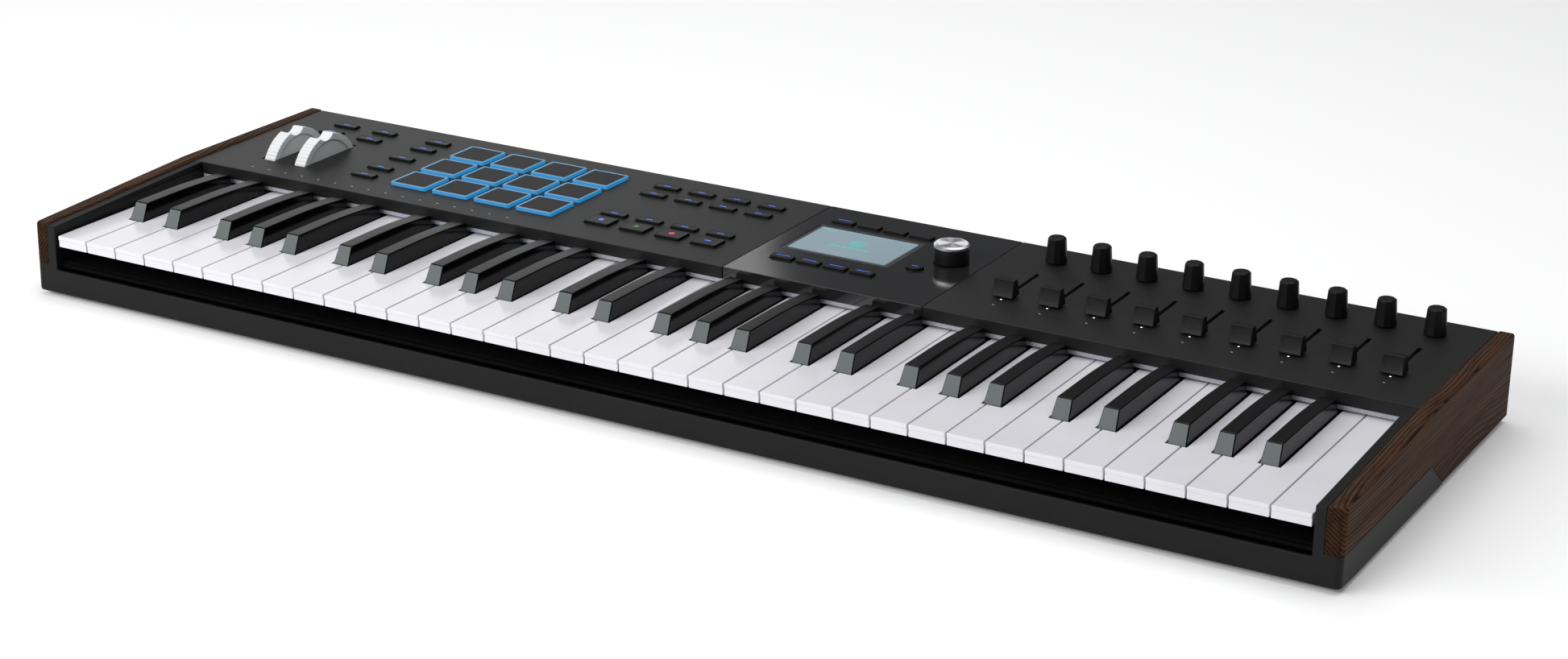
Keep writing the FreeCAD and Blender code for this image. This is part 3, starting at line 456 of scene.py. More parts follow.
def lit_pane():
    """A picture lit from behind: pale grey blue, a little darker towards one corner."""
    made, tree, shader = finish_named("lit_pane", (0.10, 0.12, 0.13), 0.12)
    clouds = noise(tree, object_space(tree), 12, 1)
    colour = ramp(tree, clouds, (0.3, (0.19, 0.26, 0.30)), (0.7, (0.24, 0.33, 0.38)))
    tree.links.new(colour, shader.inputs["Emission Color"])
    shader.inputs["Emission Strength"].default_value = 0.75
    return made


def spun_metal(centre):
    """Turned aluminium: fine grooves round an axis, and a highlight that fans out."""
    made, tree, shader = finish_named("spun_metal", (0.92, 0.92, 0.93), 0.36, Metallic=1.0,
                                      Anisotropic=0.85)
    links = tree.links
    space = object_space(tree, offset=tuple(-c for c in centre))
    flat = tree.nodes.new("ShaderNodeVectorMath")
    flat.operation = "MULTIPLY"
    flat.inputs[1].default_value = (1, 1, 0)
    links.new(space, flat.inputs[0])
    length = tree.nodes.new("ShaderNodeVectorMath")
    length.operation = "LENGTH"
    links.new(flat.outputs["Vector"], length.inputs[0])
    join = tree.nodes.new("ShaderNodeCombineXYZ")
    links.new(length.outputs["Value"], join.inputs["X"])
    grooves = noise(tree, join.outputs["Vector"], 1800, 1)
    links.new(spread(tree, grooves, 0.36, 0.42), shader.inputs["Roughness"])
    round_axis = tree.nodes.new("ShaderNodeVectorMath")
    round_axis.operation = "CROSS_PRODUCT"
    round_axis.inputs[0].default_value = (0, 0, 1)
    links.new(flat.outputs["Vector"], round_axis.inputs[1])
    unit = tree.nodes.new("ShaderNodeVectorMath")
    unit.operation = "NORMALIZE"
    links.new(round_axis.outputs["Vector"], unit.inputs[0])
    links.new(unit.outputs["Vector"], shader.inputs["Tangent"])
    return made


RIM_LIGHT = rim_light()
LIT_PANE = lit_pane()
print("light frames, lit pane and spun metal added")

# %% [markdown]
# ## Softened parts
# The frame's parts have knife-sharp edges, and no moulded or sawn part does. Each visible
# part gets a copy whose loose triangles are merged, whose flat faces are joined again, and
# whose edges are rounded with a Bevel modifier. Weighted normals then keep the wide faces
# flat and let only the narrow roundings shine. The copy stands for the part and rides on
# the same body. Special shapes, such as the lip of a white key, are made in edit
# mode before the rounding.

# %% Helpers: picking, edit mode and faces by place
def pick(piece):
    """Select one object alone and make it active."""
    bpy.ops.object.select_all(action="DESELECT")
    piece.select_set(True)
    bpy.context.view_layer.objects.active = piece


def choose(piece, kind, test):
    """Open a piece for editing with the faces or edges that pass the test selected."""
    pick(piece)
    mesh = piece.data
    mesh.polygons.foreach_set("select", [False] * len(mesh.polygons))
    mesh.edges.foreach_set("select", [False] * len(mesh.edges))
    mesh.vertices.foreach_set("select", [False] * len(mesh.vertices))
    found = 0
    if kind == "FACE":
        for face in mesh.polygons:
            if test(face.center, face.normal):
                face.select = True
                found += 1
    elif kind == "EDGE":
        for edge in mesh.edges:
            first, second = (mesh.vertices[i].co for i in edge.vertices)
            if test(first, second):
                edge.select = True
                found += 1
    else:
        for vertex in mesh.vertices:
            if test(vertex.co):
                vertex.select = True
                found += 1
    bpy.ops.object.mode_set(mode="EDIT")
    bpy.ops.mesh.select_mode(type=kind)
    return found


def close_edit():
    """Back to object mode."""
    bpy.ops.object.mode_set(mode="OBJECT")


def merged_copy(node):
    """A copy of a part, its loose triangles merged and its flat faces joined."""
    piece = bpy.data.objects.new(f"soft_{node}", NODES[node].data.copy())
    bpy.context.scene.collection.objects.link(piece)
    choose(piece, "VERT", lambda place: True)
    bpy.ops.mesh.remove_doubles(threshold=0.00001)
    bpy.ops.mesh.dissolve_limited(angle_limit=math.radians(0.6))
    close_edit()
    return piece


def rounded(piece, radius, segments=2, sharp=35):
    """Round every sharp edge of a piece to radius, in millimetres."""
    pick(piece)
    rounding = piece.modifiers.new("Rounded", "BEVEL")
    rounding.width = radius * MM
    rounding.segments = segments
    rounding.limit_method = "ANGLE"
    rounding.angle_limit = math.radians(sharp)
    rounding.use_clamp_overlap = False
    bpy.ops.object.modifier_apply(modifier=rounding.name)
    return shaded(piece)


def shaded(piece):
    """Smooth shading over the small curves, with the wide faces kept flat."""
    pick(piece)
    bpy.ops.object.shade_smooth_by_angle(angle=math.radians(50))
    flatten = piece.modifiers.new("Flat_faces", "WEIGHTED_NORMAL")
    flatten.keep_sharp = True
    flatten.weight = 100
    bpy.ops.object.modifier_apply(modifier=flatten.name)
    return piece


def finish_piece(piece, body, material, replaced=()):
    """Give a piece its finish and its body, and hide the parts it replaces."""
    piece.data.materials.clear()
    piece.data.materials.append(material)
    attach(piece, body)
    if replaced:
        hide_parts(*replaced)
    return piece


def stand_in(piece, node, material=None):
    """A finished copy takes the place of its part."""
    slot = SLOT_OF[node]
    return finish_piece(piece, BODY_OF[node], material or FINISHES[slot], [node])


# %% [markdown]
# ## Case, cheeks and panels
# The moulded case already has wide front corners in the frame. Here it gets a rounding
# along its lower front edge, where a hand carries it, and tight ones everywhere else.
# The wooden cheeks are sanded to a small radius, and the folded panels have less.

# %% Case and cheeks
NEAR = 0.05 * MM          # closer than this is the same place
CARRY_EDGE = 1.6 * MM     # the rounding along the lower front edge
FRONT_WALL = 5 * MM       # that edge is no farther back than this
case_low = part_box("lower_case")[0]
case = merged_copy("lower_case")


def bottom_rim(first, second):
    """An outer edge along the underside of the front wall."""
    low = max(first.z, second.z) < case_low.z + NEAR
    return low and max(first.y, second.y) < case_low.y + FRONT_WALL


rims = choose(case, "EDGE", bottom_rim)
bpy.ops.mesh.bevel(offset=CARRY_EDGE, segments=4, affect="EDGES")
close_edit()
stand_in(rounded(case, 0.7, 3), "lower_case")
for side in ("left", "right"):
    name = f"wood_cheek_{side}"
    stand_in(rounded(merged_copy(name), 0.6, 3), name)
for name in ("panel_left", "panel_centre", "panel_right"):
    stand_in(rounded(merged_copy(name), 0.35), name)
print("case with", rims, "wide edges, two cheeks and three panels rounded")

# %% [markdown]
# ## White keys
# A white key is a hollow moulding with a thicker cap, whose front stands a little proud
# of the key's face. Cutting the key's mesh at the cap's underside and extruding only the
# upper strip of the front face gives that lip. Its two front corners are rounded wider
# than the rest.

# %% White keys with a lip
KEY_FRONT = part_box("white_keys")[0].y
KEY_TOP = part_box("white_keys")[1].z
CAP = 2.7 * MM            # the cap's thickness
LIP = 0.6 * MM            # how far its front stands proud
LIP_CORNER = 0.55 * MM    # the rounding of the lip's two upright corners


def lipped(node):
    """A white key's copy with a proud lip along its front."""
    piece = merged_copy(node)
    choose(piece, "VERT", lambda place: True)
    bpy.ops.mesh.bisect(plane_co=(0, 0, KEY_TOP - CAP), plane_no=(0, 0, 1))
    close_edit()
    choose(piece, "FACE", lambda centre, normal: normal.y < -0.9 and centre.z > KEY_TOP - CAP
           and centre.y < KEY_FRONT + 0.1 * MM)
    bpy.ops.mesh.extrude_region_move(TRANSFORM_OT_translate={"value": (0, -LIP, 0)})
    close_edit()
    choose(piece, "EDGE", lambda first, second: abs(first.x - second.x) < NEAR
           and abs(first.y - second.y) < NEAR and first.y < KEY_FRONT - LIP + NEAR)
    bpy.ops.mesh.bevel(offset=LIP_CORNER, segments=4, affect="EDGES")
    close_edit()
    return stand_in(rounded(piece, 0.32, 2, 50), node)


white_nodes = [node for node in NODES if SLOT_OF[node] == "white_key"]
for node in white_nodes:
    lipped(node)
print(len(white_nodes), "white key pieces with a", round(LIP / MM, 1), "mm lip")

# %% [markdown]
# ## Black keys
# A black key leans at its front and is narrower at its top. Its top is flat where the
# fingers play and falls away in a shallow curve towards the panel. The mesh is cut
# across at several places, and each row of its top is lowered a little more than the one
# before it.

# %% Black keys with a falling top
BLACK_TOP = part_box("black_keys")[1].z
PANEL_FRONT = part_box("panel_left")[0].y
FALL_START = PANEL_FRONT - 58 * MM
FALL_END = max(vertex.co.y for vertex in NODES["black_keys"].data.vertices
               if vertex.co.z > BLACK_TOP - 0.1 * MM)
FALL = 2.6 * MM    # how far the back end lies below the playing surface
ROWS = 7           # cuts across the falling part


def falling(node):
    """A black key's copy whose top curves down towards the back."""
    piece = merged_copy(node)
    steps = [FALL_START + (FALL_END - FALL_START) * row / ROWS for row in range(ROWS + 1)]
    for back in steps[:-1]:
        choose(piece, "VERT", lambda place: True)
        bpy.ops.mesh.bisect(plane_co=(0, back, 0), plane_no=(0, 1, 0))
        close_edit()
    for row, back in enumerate(steps):
        choose(piece, "VERT", lambda place: abs(place.y - back) < 0.2 * MM
               and place.z > BLACK_TOP - 4 * MM)
        bpy.ops.transform.translate(value=(0, 0, -FALL * (row / ROWS) ** 2))
        close_edit()
    return stand_in(rounded(piece, 0.75, 3, 25), node)


black_nodes = [node for node in NODES if SLOT_OF[node] == "black_key"]
for node in black_nodes:
    falling(node)
print(len(black_nodes), "black key pieces")

# %% [markdown]
# ## Felt
# Two felt strips cross the keybed. The pale one closes the slot behind the keys and shows
# as a thin line. The other lies in the dark under the key fronts, and is black. They are
# one part in the frame, so two pieces stand for it together.

# %% Two felt strips
def felt_strip(name, test, material):
    """The felt part's copy with only the solids that pass the test, softened."""
    strip = merged_copy("key_felts")
    strip.name = name
    choose(strip, "FACE", lambda centre, normal: not test(centre))
    bpy.ops.mesh.delete(type="FACE")
    close_edit()
    rounded(strip, 0.5)
    return stand_in(strip, "key_felts", material)


felt_strip("rear_felt", lambda centre: centre.y > 0, FINISHES["felt"])
felt_strip("stop_felt", lambda centre: centre.y < 0, BLACK_FELT)
print("two felt strips")

# %% [markdown]
# ## Buttons and pads
# The buttons are moulded caps with a soft edge and a slightly dished top. A lamp under
# each cap shines through a small mark. The pads are rubber in a clear light frame, whose
# outer edge slopes and glows. The box of each is found in the frame's part by walking over
# its connected triangles, and a clean plate with rounded corners is built in that box. A
# cap's top edge is bevelled and its top is inset twice, a little lower each time, for the
# dish. A light frame is a plate too: its top and underside are inset, the inner faces are
# taken out, and the two open edges are bridged into the inner wall.

# %% Helper: the boxes of a part's solids
def solid_boxes(node):
    """Lowest and highest corner of each separate solid in a part."""
    mesh = NODES[node].data
    owner = {}

    def top_of(key):
        while owner[key] != key:
            owner[key] = owner[owner[key]]
            key = owner[key]
        return key

    keys = [tuple(round(c, 6) for c in vertex.co) for vertex in mesh.vertices]
    for key in keys:
        owner[key] = key
    for face in mesh.polygons:
        first = top_of(keys[face.vertices[0]])
        for index in face.vertices[1:]:
            owner[top_of(keys[index])] = first
    found = {}
    for key in owner:
        found.setdefault(top_of(key), []).append(key)
    boxes = []
    for points in found.values():
        low = Vector([min(p[i] for p in points) for i in range(3)])
        high = Vector([max(p[i] for p in points) for i in range(3)])
        boxes.append((low, high))
    return sorted(boxes, key=lambda pair: (round(pair[0].y, 3), pair[0].x))


# %% Helpers: blocks, cylinders, plates and marks
MARK_THICK = 0.12 * MM


def block(low, high):
    """A plain block between two corners."""
    bpy.ops.object.select_all(action="DESELECT")
    bpy.ops.mesh.primitive_cube_add(size=1, location=(low + high) / 2)
    piece = bpy.context.object
    piece.scale = high - low
    bpy.ops.object.transform_apply(location=True, rotation=True, scale=True)
    return piece


def cylinder(middle, radius, depth, sides, turn=(0, 0, 0)):
    """A plain cylinder round its middle."""
    bpy.ops.object.select_all(action="DESELECT")
    bpy.ops.mesh.primitive_cylinder_add(vertices=sides, radius=radius, depth=depth,
                                        location=middle, rotation=turn)
    bpy.ops.object.transform_apply(location=True, rotation=True, scale=True)
    return bpy.context.object


def plate(name, low, high, edge):
    """A block whose upright corners are rounded."""
    piece = block(low, high)
    piece.name = name
    choose(piece, "EDGE", lambda first, second: abs(first.z - second.z) > 0.01 * MM)
    bpy.ops.mesh.bevel(offset=edge, segments=3, affect="EDGES")
    close_edit()
    return piece


def bar(middle, long, deep):
    """A flat mark lying on a cap, its middle and size in metres."""
    half = Vector((long / 2, deep / 2, MARK_THICK / 2))
    return plate("mark", middle - half, middle + half, min(long, deep) * 0.3)


def disc(middle, radius, sides, turn=0.0):
    """A flat round or many-sided mark."""
    piece = cylinder(middle, radius, MARK_THICK, sides, (0, 0, turn))
    choose(piece, "FACE", lambda centre, normal: normal.z > 0.9)
    bpy.ops.mesh.inset(thickness=0.12 * radius)
    close_edit()
    return piece


def together(name, pieces):
    """Several pieces made one."""
    bpy.ops.object.select_all(action="DESELECT")
    for piece in pieces:
        piece.select_set(True)
    bpy.context.view_layer.objects.active = pieces[0]
    if len(pieces) > 1:
        bpy.ops.object.join()
    result = bpy.context.object
    result.name = name
    return result


def joined(name, pieces, body, material):
    """Several pieces made one, finished, on a body."""
    return finish_piece(together(name, pieces), body, material)


def top_middle(low, high):
    """The middle of a box's top."""
    return Vector(((low.x + high.x) / 2, (low.y + high.y) / 2, high.z))


MARK_SINK = 0.1 * MM      # a mark lies in the dish, this far below the cap's rim


def cap_middle(pair, back=0.0):
    """The place of a mark on a cap, moved back by a distance."""
    return top_middle(*pair) + Vector((0, back, -MARK_SINK))


# %% Button caps
ROUND_CAP = 14 * MM       # the round cap is narrower than this, the others wider
CAP_CORNER = 1.2 * MM     # the rounding of a cap's upright corners
CAP_RIM = 0.4 * MM        # and of its top edge
DISH_STEP = 0.35 * MM     # the width of each of the dish's two steps


def on_tops(boxes):
    """A test for the edges round the top of any of the boxes."""
    def test(first, second):
        return any(abs(first.z - high.z) < NEAR and abs(second.z - high.z) < NEAR
                   and low.x - NEAR < first.x < high.x + NEAR
                   and low.y - NEAR < first.y < high.y + NEAR for low, high in boxes)
    return test


def blank(low, high):
    """A plain block with rounded upright corners, or a short cylinder."""
    if high.x - low.x > ROUND_CAP:
        return plate("blank", low, high, CAP_CORNER)
    return cylinder((low + high) / 2, (high.x - low.x) / 2, high.z - low.z, 48)


def dished(node):
    """Button caps with a soft rim and a shallow dish in each top."""
    boxes = solid_boxes(node)
    piece = together(f"dished_{node}", [blank(low, high) for low, high in boxes])
    choose(piece, "EDGE", on_tops(boxes))
    bpy.ops.mesh.bevel(offset=CAP_RIM, segments=4, affect="EDGES")
    close_edit()
    choose(piece, "FACE", lambda centre, normal: normal.z > 0.995)
    for drop in (0.08 * MM, 0.06 * MM):
        bpy.ops.mesh.inset(thickness=DISH_STEP, depth=-drop, use_individual=True)
    close_edit()
    stand_in(shaded(piece), node)
    return len(boxes)


for node in ("performance_buttons", "studio_buttons", "menu_buttons"):
    print(node, dished(node), "caps")

# %% Marks on the buttons
BAR_DEEP = 0.9 * MM           # the marks of the performance and studio buttons
LINE_DEEP = 0.6 * MM          # the thinner lines of the menu buttons
LINE_BACK = 0.9 * MM          # a long line lies this far behind its cap's middle
TRANSPORT_DEEP = 10 * MM      # transport caps are deeper than this
MENU_DEEP = 60 * MM           # the menu's rear cap lies farther back than this
performance = [bar(cap_middle(pair), 5.2 * MM, BAR_DEEP)
               for pair in solid_boxes("performance_buttons")]
joined("performance_marks", performance, BODY_OF["performance_buttons"], GLOW_BLUE)

studio = solid_boxes("studio_buttons")
transport = [pair for pair in studio if pair[1].y - pair[0].y > TRANSPORT_DEEP]
small = [pair for pair in studio if pair not in transport]
blue = [bar(cap_middle(pair), 5.0 * MM, BAR_DEEP) for pair in small]
blue.append(bar(cap_middle(transport[0]), 3.4 * MM, 3.4 * MM))
blue.append(bar(cap_middle(transport[3]), 4.6 * MM, 1.2 * MM))
joined("studio_marks", blue, BODY_OF["studio_buttons"], GLOW_BLUE)
joined("play_mark", [disc(cap_middle(transport[1]), 2.4 * MM, 3, math.radians(-90))],
       BODY_OF["studio_buttons"], GLOW_GREEN)
joined("record_mark", [disc(cap_middle(transport[2]), 2.0 * MM, 32)],
       BODY_OF["studio_buttons"], GLOW_RED)

menu = solid_boxes("menu_buttons")
wide = [pair for pair in menu[:5] if pair[1].x - pair[0].x > ROUND_CAP]
rear = [pair for pair in menu if pair[0].y > menu[0][0].y + MENU_DEEP]
lines = [bar(cap_middle(pair, LINE_BACK), 9.5 * MM, LINE_DEEP) for pair in wide + rear[:1]]
lines += [bar(cap_middle(pair), 4.5 * MM, LINE_DEEP) for pair in menu
          if pair[1].x - pair[0].x < ROUND_CAP]
joined("menu_lines", lines, BODY_OF["menu_buttons"], GLOW_BLUE)
print(len(performance), "performance marks,", len(blue) + 2, "studio marks,",
      len(lines), "menu lines")

# %% Pads and their light frames
PAD_CORNER = 0.9 * MM
PAD_EDGE = 0.3 * MM
PAD_CLEAR = 0.4 * MM      # the gap between a pad and its light frame
RIM_WALL = 1.5 * MM
RIM_CORNER = 1.8 * MM
RIM_SLOPE = 0.45 * MM
pad_boxes = solid_boxes("pads")
rubber = together("soft_pads", [plate("pad", low, high, PAD_CORNER)
                                for low, high in pad_boxes])
choose(rubber, "EDGE", on_tops(pad_boxes))
bpy.ops.mesh.bevel(offset=PAD_EDGE, segments=3, affect="EDGES")
close_edit()
stand_in(shaded(rubber), "pads")
rim_foot, rim_top = (corner.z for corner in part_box("pad_light_frames"))


def light_rim(pad_low, pad_high):
    """A square ring round one pad, with rounded corners and a sloped outer rim."""
    out = PAD_CLEAR + RIM_WALL
    low = Vector((pad_low.x - out, pad_low.y - out, rim_foot))
    high = Vector((pad_high.x + out, pad_high.y + out, pad_high.z))
    middle = (low + high) / 2
    ring = plate("rim", low, high, RIM_CORNER)
    choose(ring, "EDGE", on_tops([(low, high)]))
    bpy.ops.mesh.bevel(offset=RIM_SLOPE, segments=1, affect="EDGES")
    close_edit()
    for way, wall in ((1, RIM_WALL - RIM_SLOPE), (-1, RIM_WALL)):
        choose(ring, "FACE", lambda centre, normal: normal.z * way > 0.99)
        bpy.ops.mesh.inset(thickness=wall)
        close_edit()
    choose(ring, "FACE", lambda centre, normal: abs(normal.z) > 0.99
           and (centre.xy - middle.xy).length < NEAR)
    bpy.ops.mesh.delete(type="FACE")
    bpy.ops.mesh.select_mode(type="EDGE")
    bpy.ops.mesh.select_non_manifold()
    bpy.ops.mesh.bridge_edge_loops()
    bpy.ops.mesh.select_all(action="SELECT")
    bpy.ops.mesh.normals_make_consistent(inside=False)
    close_edit()
    return ring


rims = together("light_rims", [light_rim(low, high) for low, high in pad_boxes])
stand_in(shaded(rims), "pad_light_frames", RIM_LIGHT)
print(len(pad_boxes), "pads in rims", round(rim_top / MM, 1), "mm high")

# %% [markdown]
# ## Knobs and faders
# Each knob is a tapered moulding with ten flats, so that fingers can turn it, and a low
# raised top. It is made once from a ten-sided cylinder: the top is narrowed and inset, its
# outer corners are lowered so that the middle stands up, the underside is hollowed, and all
# edges are rounded. Every knob is its own copy. The fader caps start from a block, narrowed
# towards the top. Insets press a shallow groove in the top for the fingertip, and two steps
# of a scoop in the sloped front and back.

# %% Knob
FLATS = 10
TAPER = 0.83              # the top's width as a part of the foot's
SHOULDER = 0.9 * MM       # the width of the top's sloped rim, and its drop
KNOB_TALL = 16.2 * MM
knob_low, knob_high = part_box("knob_1")
KNOB_R = (knob_high.x - knob_low.x) / 2
knob_shape = cylinder((0, 0, -KNOB_TALL / 2), KNOB_R, KNOB_TALL, FLATS,
                      (0, 0, math.radians(10)))
choose(knob_shape, "FACE", lambda centre, normal: normal.z > 0.9)
bpy.ops.transform.resize(value=(TAPER, TAPER, 1))
bpy.ops.mesh.inset(thickness=SHOULDER, depth=0)
close_edit()
rim_z = max(v.co.z for v in knob_shape.data.vertices)
choose(knob_shape, "VERT", lambda place: place.z > rim_z - NEAR
       and place.xy.length > TAPER * KNOB_R - 0.4 * MM)
bpy.ops.transform.translate(value=(0, 0, -SHOULDER))
close_edit()
choose(knob_shape, "FACE", lambda centre, normal: centre.z < -KNOB_TALL + NEAR)
bpy.ops.mesh.inset(thickness=0.8 * MM, depth=-1.2 * MM)
close_edit()
rounded(knob_shape, 0.35, 3, 12)
print("knob with", FLATS, "flats,", len(knob_shape.data.polygons), "faces")

# %% Helper: own copies, and the nine knobs
STRIPS = range(1, 10)     # the strips of one knob and one fader


def own_copy(shape, name, shift):
    """A copy with its own mesh, placed by moving the mesh."""
    twin = bpy.data.objects.new(name, shape.data.copy())
    bpy.context.scene.collection.objects.link(twin)
    twin.data.transform(Matrix.Translation(shift))
    return twin


for number in STRIPS:
    node = f"knob_{number}"
    stand_in(own_copy(knob_shape, f"knob_cap_{number}", top_middle(*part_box(node))), node)
bpy.data.objects.remove(knob_shape)
print("nine knobs")

# %% Fader caps
CAP_TALL = 11 * MM
CAP_TAPER = (0.955, 0.43, 1)      # the top's width and depth as parts of the foot's
STEM_HALF = Vector((0.6 * MM, 2 * MM, 0))
STEM_SUNK = 4 * MM                # the stem ends this far below the cap's top
fader_low, fader_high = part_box("fader_1")
half = (fader_high - fader_low) / 2
cap_shape = block(Vector((-half.x, -half.y, -CAP_TALL)), Vector((half.x, half.y, 0)))
choose(cap_shape, "FACE", lambda centre, normal: normal.z > 0.9)
bpy.ops.transform.resize(value=CAP_TAPER)
bpy.ops.mesh.inset(thickness=0.9 * MM, depth=-0.3 * MM)
close_edit()
choose(cap_shape, "FACE", lambda centre, normal: abs(normal.y) > 0.8)
bpy.ops.mesh.inset(thickness=1.3 * MM, depth=-0.25 * MM, use_individual=True)
bpy.ops.mesh.inset(thickness=1.5 * MM, depth=-0.3 * MM, use_individual=True)
close_edit()
rounded(cap_shape, 0.6, 4, 20)

for number in STRIPS:
    node = f"fader_{number}"
    low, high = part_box(node)
    middle = top_middle(low, high)
    cap = own_copy(cap_shape, f"fader_cap_{number}", middle)
    foot = Vector((middle.x, middle.y, low.z))
    stem = plate(f"fader_stem_{number}", foot - STEM_HALF,
                 middle + STEM_HALF - Vector((0, 0, STEM_SUNK)), 0.2 * MM)
    finish_piece(stem, BODY_OF[node], FINISHES["control_metal"])
    stand_in(cap, node)
bpy.data.objects.remove(cap_shape)
print("nine fader caps on steel stems")

# %% [markdown]
# ## Browse dial
# The dial has a satin black skirt and a cap of spun aluminium with a bright chamfer. Both
# start from a fine cylinder. The spinning leaves grooves that run round the axis, so the
# highlight fans out from the middle: the shader's anisotropy with a tangent that runs
# round the axis does the same.

# %% Dial
dial_low, dial_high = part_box("encoder_knob")
DIAL_AT = Vector(((dial_low.x + dial_high.x) / 2, (dial_low.y + dial_high.y) / 2, 0))
DIAL_R = (dial_high.x - dial_low.x) / 2
SPUN_TALL = 2.6 * MM      # the metal cap and the seam under it
SEAM = 0.15 * MM


def turned(name, radius, low, high, chamfer, segments):
    """A turned disc on the dial's axis with a rounded or chamfered upper edge."""
    piece = cylinder(DIAL_AT + Vector((0, 0, (low + high) / 2)), radius, high - low, 96)
    piece.name = name
    choose(piece, "EDGE", lambda first, second: min(first.z, second.z) > high - NEAR)
    bpy.ops.mesh.bevel(offset=chamfer, segments=segments, affect="EDGES")
    close_edit()
    pick(piece)
    bpy.ops.object.shade_smooth_by_angle(angle=math.radians(30))
    return piece


cap_foot = dial_high.z - SPUN_TALL
skirt = turned("dial_skirt", DIAL_R, dial_low.z, cap_foot, 0.3 * MM, 2)
spun = turned("dial_cap", DIAL_R - 0.1 * MM, cap_foot + SEAM, dial_high.z, 1.0 * MM, 1)
choose(spun, "FACE", lambda centre, normal: normal.z > 0.95)
bpy.ops.mesh.inset(thickness=0.5 * MM, depth=-0.12 * MM)
close_edit()
stand_in(skirt, "encoder_knob", FINISHES["knob_plastic"])
stand_in(spun, "encoder_knob", spun_metal(DIAL_AT))
print("dial", round(2 * DIAL_R / MM, 1), "mm across")

# %% [markdown]
# ## Wheels
# The pitch and modulation wheels stand half out of the panel. Their rims carry fine
# cross ribs for grip and a dip for the fingertip, and their sides are dished. A wheel
# starts from a cylinder with many sides: the side faces are inset, every other rim face
# in the finger's reach is raised by an inset for the ribs, and a Boolean modifier cuts the
# dip.

# %% Wheels
RIM_SIDES = 150
RIB_TALL = 0.22 * MM
RIBBED = (118, 200)       # degrees of the rim with ribs, from the back over the top
DIP_R = 8.5 * MM
DIP_FORWARD = 2.5 * MM    # the dip's axis in front of the wheel's axis
DIP_ABOVE = 4.2 * MM      # and above the rim
SIDEWAYS = (0, math.radians(90), 0)


def wheel(node):
    """A ribbed wheel with a finger dip."""
    low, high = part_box(node)
    middle = (low + high) / 2
    radius = (high.y - low.y) / 2
    centre = Vector((middle.x, middle.y, low.z + radius))
    wide = high.x - low.x
    piece = cylinder(centre, radius - 0.25 * MM, wide, RIM_SIDES, SIDEWAYS)
    piece.name = f"ribbed_{node}"
    for side in (-1, 1):
        choose(piece, "FACE", lambda place, normal: normal.x * side > 0.9)
        bpy.ops.mesh.inset(thickness=4.5 * MM, depth=0)
        bpy.ops.mesh.inset(thickness=0.8 * MM, depth=-0.7 * MM)
        close_edit()

    def on_rib(place, normal):
        """Every other rim face, clear of the dip."""
        angle = math.degrees(math.atan2(place.z - centre.z, place.y - centre.y)) % 360
        step = int(round(angle * RIM_SIDES / 360 - 0.5))
        return abs(normal.x) < 0.1 and (place - centre).length > radius - 1 * MM \
            and step % 2 == 0 and RIBBED[0] < angle < RIBBED[1]

    ribs = choose(piece, "FACE", on_rib)
    bpy.ops.mesh.inset(thickness=0.2 * MM, depth=RIB_TALL, use_individual=True)
    close_edit()

    dip = cylinder(centre + Vector((0, -DIP_FORWARD, radius + DIP_ABOVE)), DIP_R, 3 * wide, 96,
                   SIDEWAYS)
    pick(piece)
    carve = piece.modifiers.new("Dip", "BOOLEAN")
    carve.operation = "DIFFERENCE"
    carve.object = dip
    bpy.ops.object.modifier_apply(modifier=carve.name)
    bpy.data.objects.remove(dip)
    rounded(piece, 0.35, 2, 38)
    stand_in(piece, node)
    return ribs


for node in ("pitch_wheel", "mod_wheel"):
    print(node, wheel(node), "ribs")

# %% [markdown]
# ## Display
# The display is a pane of dark glass that sits flush in the panel, with a lit picture
# under it. The picture is plain: a ring with level bars, and short lines where words
# would be. It is a thin lit pane and flat marks just above the glass.

# %% Display
glass_low, glass_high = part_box("display_module")
stand_in(rounded(merged_copy("display_module"), 0.25, 2), "display_module", GLASS)
PANE_Z = glass_high.z + 0.03 * MM
MARGIN = Vector((3.2 * MM, 3.0 * MM, 0))
PANE_HALF = Vector((0, 0, 0.02 * MM))
pane_low = Vector((glass_low.x, glass_low.y, PANE_Z)) + MARGIN - PANE_HALF
pane_high = Vector((glass_high.x, glass_high.y, PANE_Z)) - MARGIN + PANE_HALF
pane = plate("lit_pane", pane_low, pane_high, 0.4 * MM)
finish_piece(pane, "case", LIT_PANE)

# %% The plain picture on the pane
middle = top_middle(pane_low, pane_high)
middle.z = PANE_Z + 0.03 * MM
RING_AT = middle + Vector((1 * MM, 4.5 * MM, 0))
BARS_APART = 1.6 * MM
graphic = []
bpy.ops.object.select_all(action="DESELECT")
bpy.ops.mesh.primitive_circle_add(vertices=64, radius=5.6 * MM, fill_type="NGON",
                                  location=RING_AT)
ring = bpy.context.object
bpy.ops.object.transform_apply(location=True, rotation=True, scale=True)
choose(ring, "FACE", lambda centre, normal: True)
bpy.ops.mesh.inset(thickness=0.8 * MM)
bpy.ops.mesh.delete(type="FACE")
bpy.ops.mesh.select_all(action="SELECT")
bpy.ops.mesh.extrude_region_move(TRANSFORM_OT_translate={"value": (0, 0, 0.04 * MM)})
close_edit()
graphic.append(ring)
for step, tall in enumerate((2.0, 4.4, 6.4, 4.4, 2.0), -2):
    graphic.append(bar(RING_AT + Vector((BARS_APART * step, 0, 0)), 0.7 * MM, tall * MM))
for aside, long in ((-10, 7), (-1.5, 8), (9, 11)):
    graphic.append(bar(middle + Vector((aside * MM, -5.5 * MM, 0)), long * MM, 1.3 * MM))
graphic.append(bar(middle + Vector((-27 * MM, 20 * MM, 0)), 8 * MM, 0.9 * MM))
joined("display_graphic", graphic, "case", GLOW_TEAL)
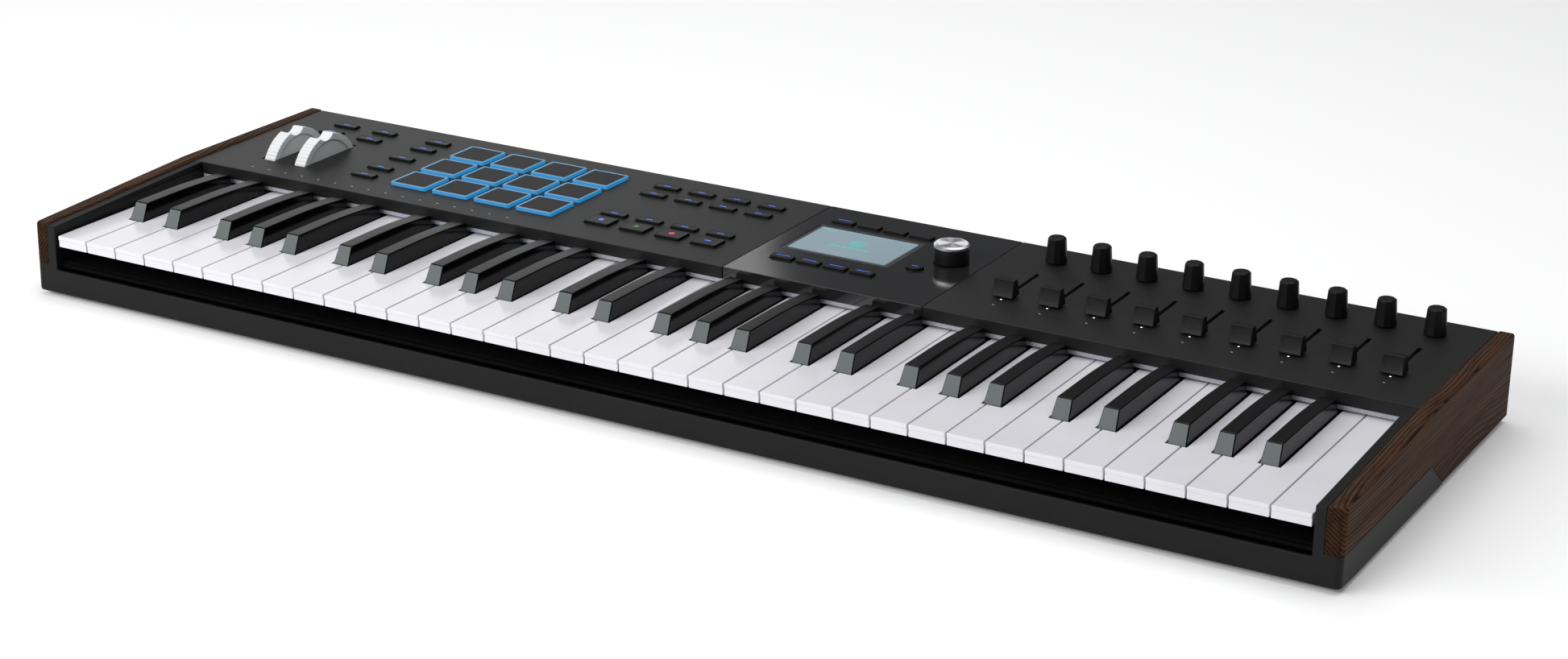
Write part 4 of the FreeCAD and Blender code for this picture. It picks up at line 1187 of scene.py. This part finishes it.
print("lit pane", [round(v / MM, 1) for v in (pane_high - pane_low)[:2]], "mm")

# %% [markdown]
# ## Printed marks and small lamps
# A row of sixteen small ticks runs along the left panel's front edge, one for each of the
# lowest keys, white and black. Each fader has a tick and a tiny white lamp in front of it.
# The ticks are thin plates on the panel, whose white print glows faintly as painted light, and the
# lamps small discs.

# %% Ticks and lamps
PANEL_HIGH = 54                   # the panels' top at their front edge, in millimetres
PANEL_RISE = 1 / 140.2            # and its rise for each millimetre towards the back
TICK_DEEP = 0.45 * MM
FIRST_TICK, TICK_STEP = -388.5, 13.77
KEY_TICK_BACK, FADER_TICK_BACK, LAMP_BACK = 9.5, 25.7, 36.4


def on_panel(x, back, above=0.03):
    """A point on the panels' top, so far behind their front edge, in millimetres."""
    return Vector((x * MM, PANEL_FRONT + back * MM,
                   (PANEL_HIGH + back * PANEL_RISE + above) * MM))


ticks = [bar(on_panel(FIRST_TICK + TICK_STEP * i, KEY_TICK_BACK), 1.5 * MM, TICK_DEEP)
         for i in range(16)]
lamps = []
for number in STRIPS:
    x = top_middle(*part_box(f"fader_{number}")).x / MM
    ticks.append(bar(on_panel(x, FADER_TICK_BACK), 1.4 * MM, TICK_DEEP))
    lamps.append(disc(on_panel(x, LAMP_BACK), 0.6 * MM, 20))
joined("printed_ticks", ticks, "case", PRINT_WITH_PAINTED_GLOW)
joined("fader_lamps", lamps, "case", GLOW_WHITE)
print(len(ticks), "ticks and", len(lamps), "lamps")

# %% [markdown]
# ## Sockets, feet and what lies inside
# The rear sockets, the feet and the screws get small roundings. The parts inside keep their
# shape and take their finishes, which a last loop puts on every part of the frame.

# %% Remaining parts
for node, radius in (("jack_sockets", 0.3), ("din_sockets", 0.25), ("usb_socket", 0.2),
                     ("rubber_feet", 0.6), ("case_screws", 0.25)):
    stand_in(rounded(merged_copy(node), radius), node)
for node, part in NODES.items():
    part.data.materials.clear()
    part.data.materials.append(FINISHES[SLOT_OF[node]])
print("finishes on all", len(NODES), "parts")

# %% Measure and finish
low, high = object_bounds()
print("visual box", [round(v, 4) for v in high - low])
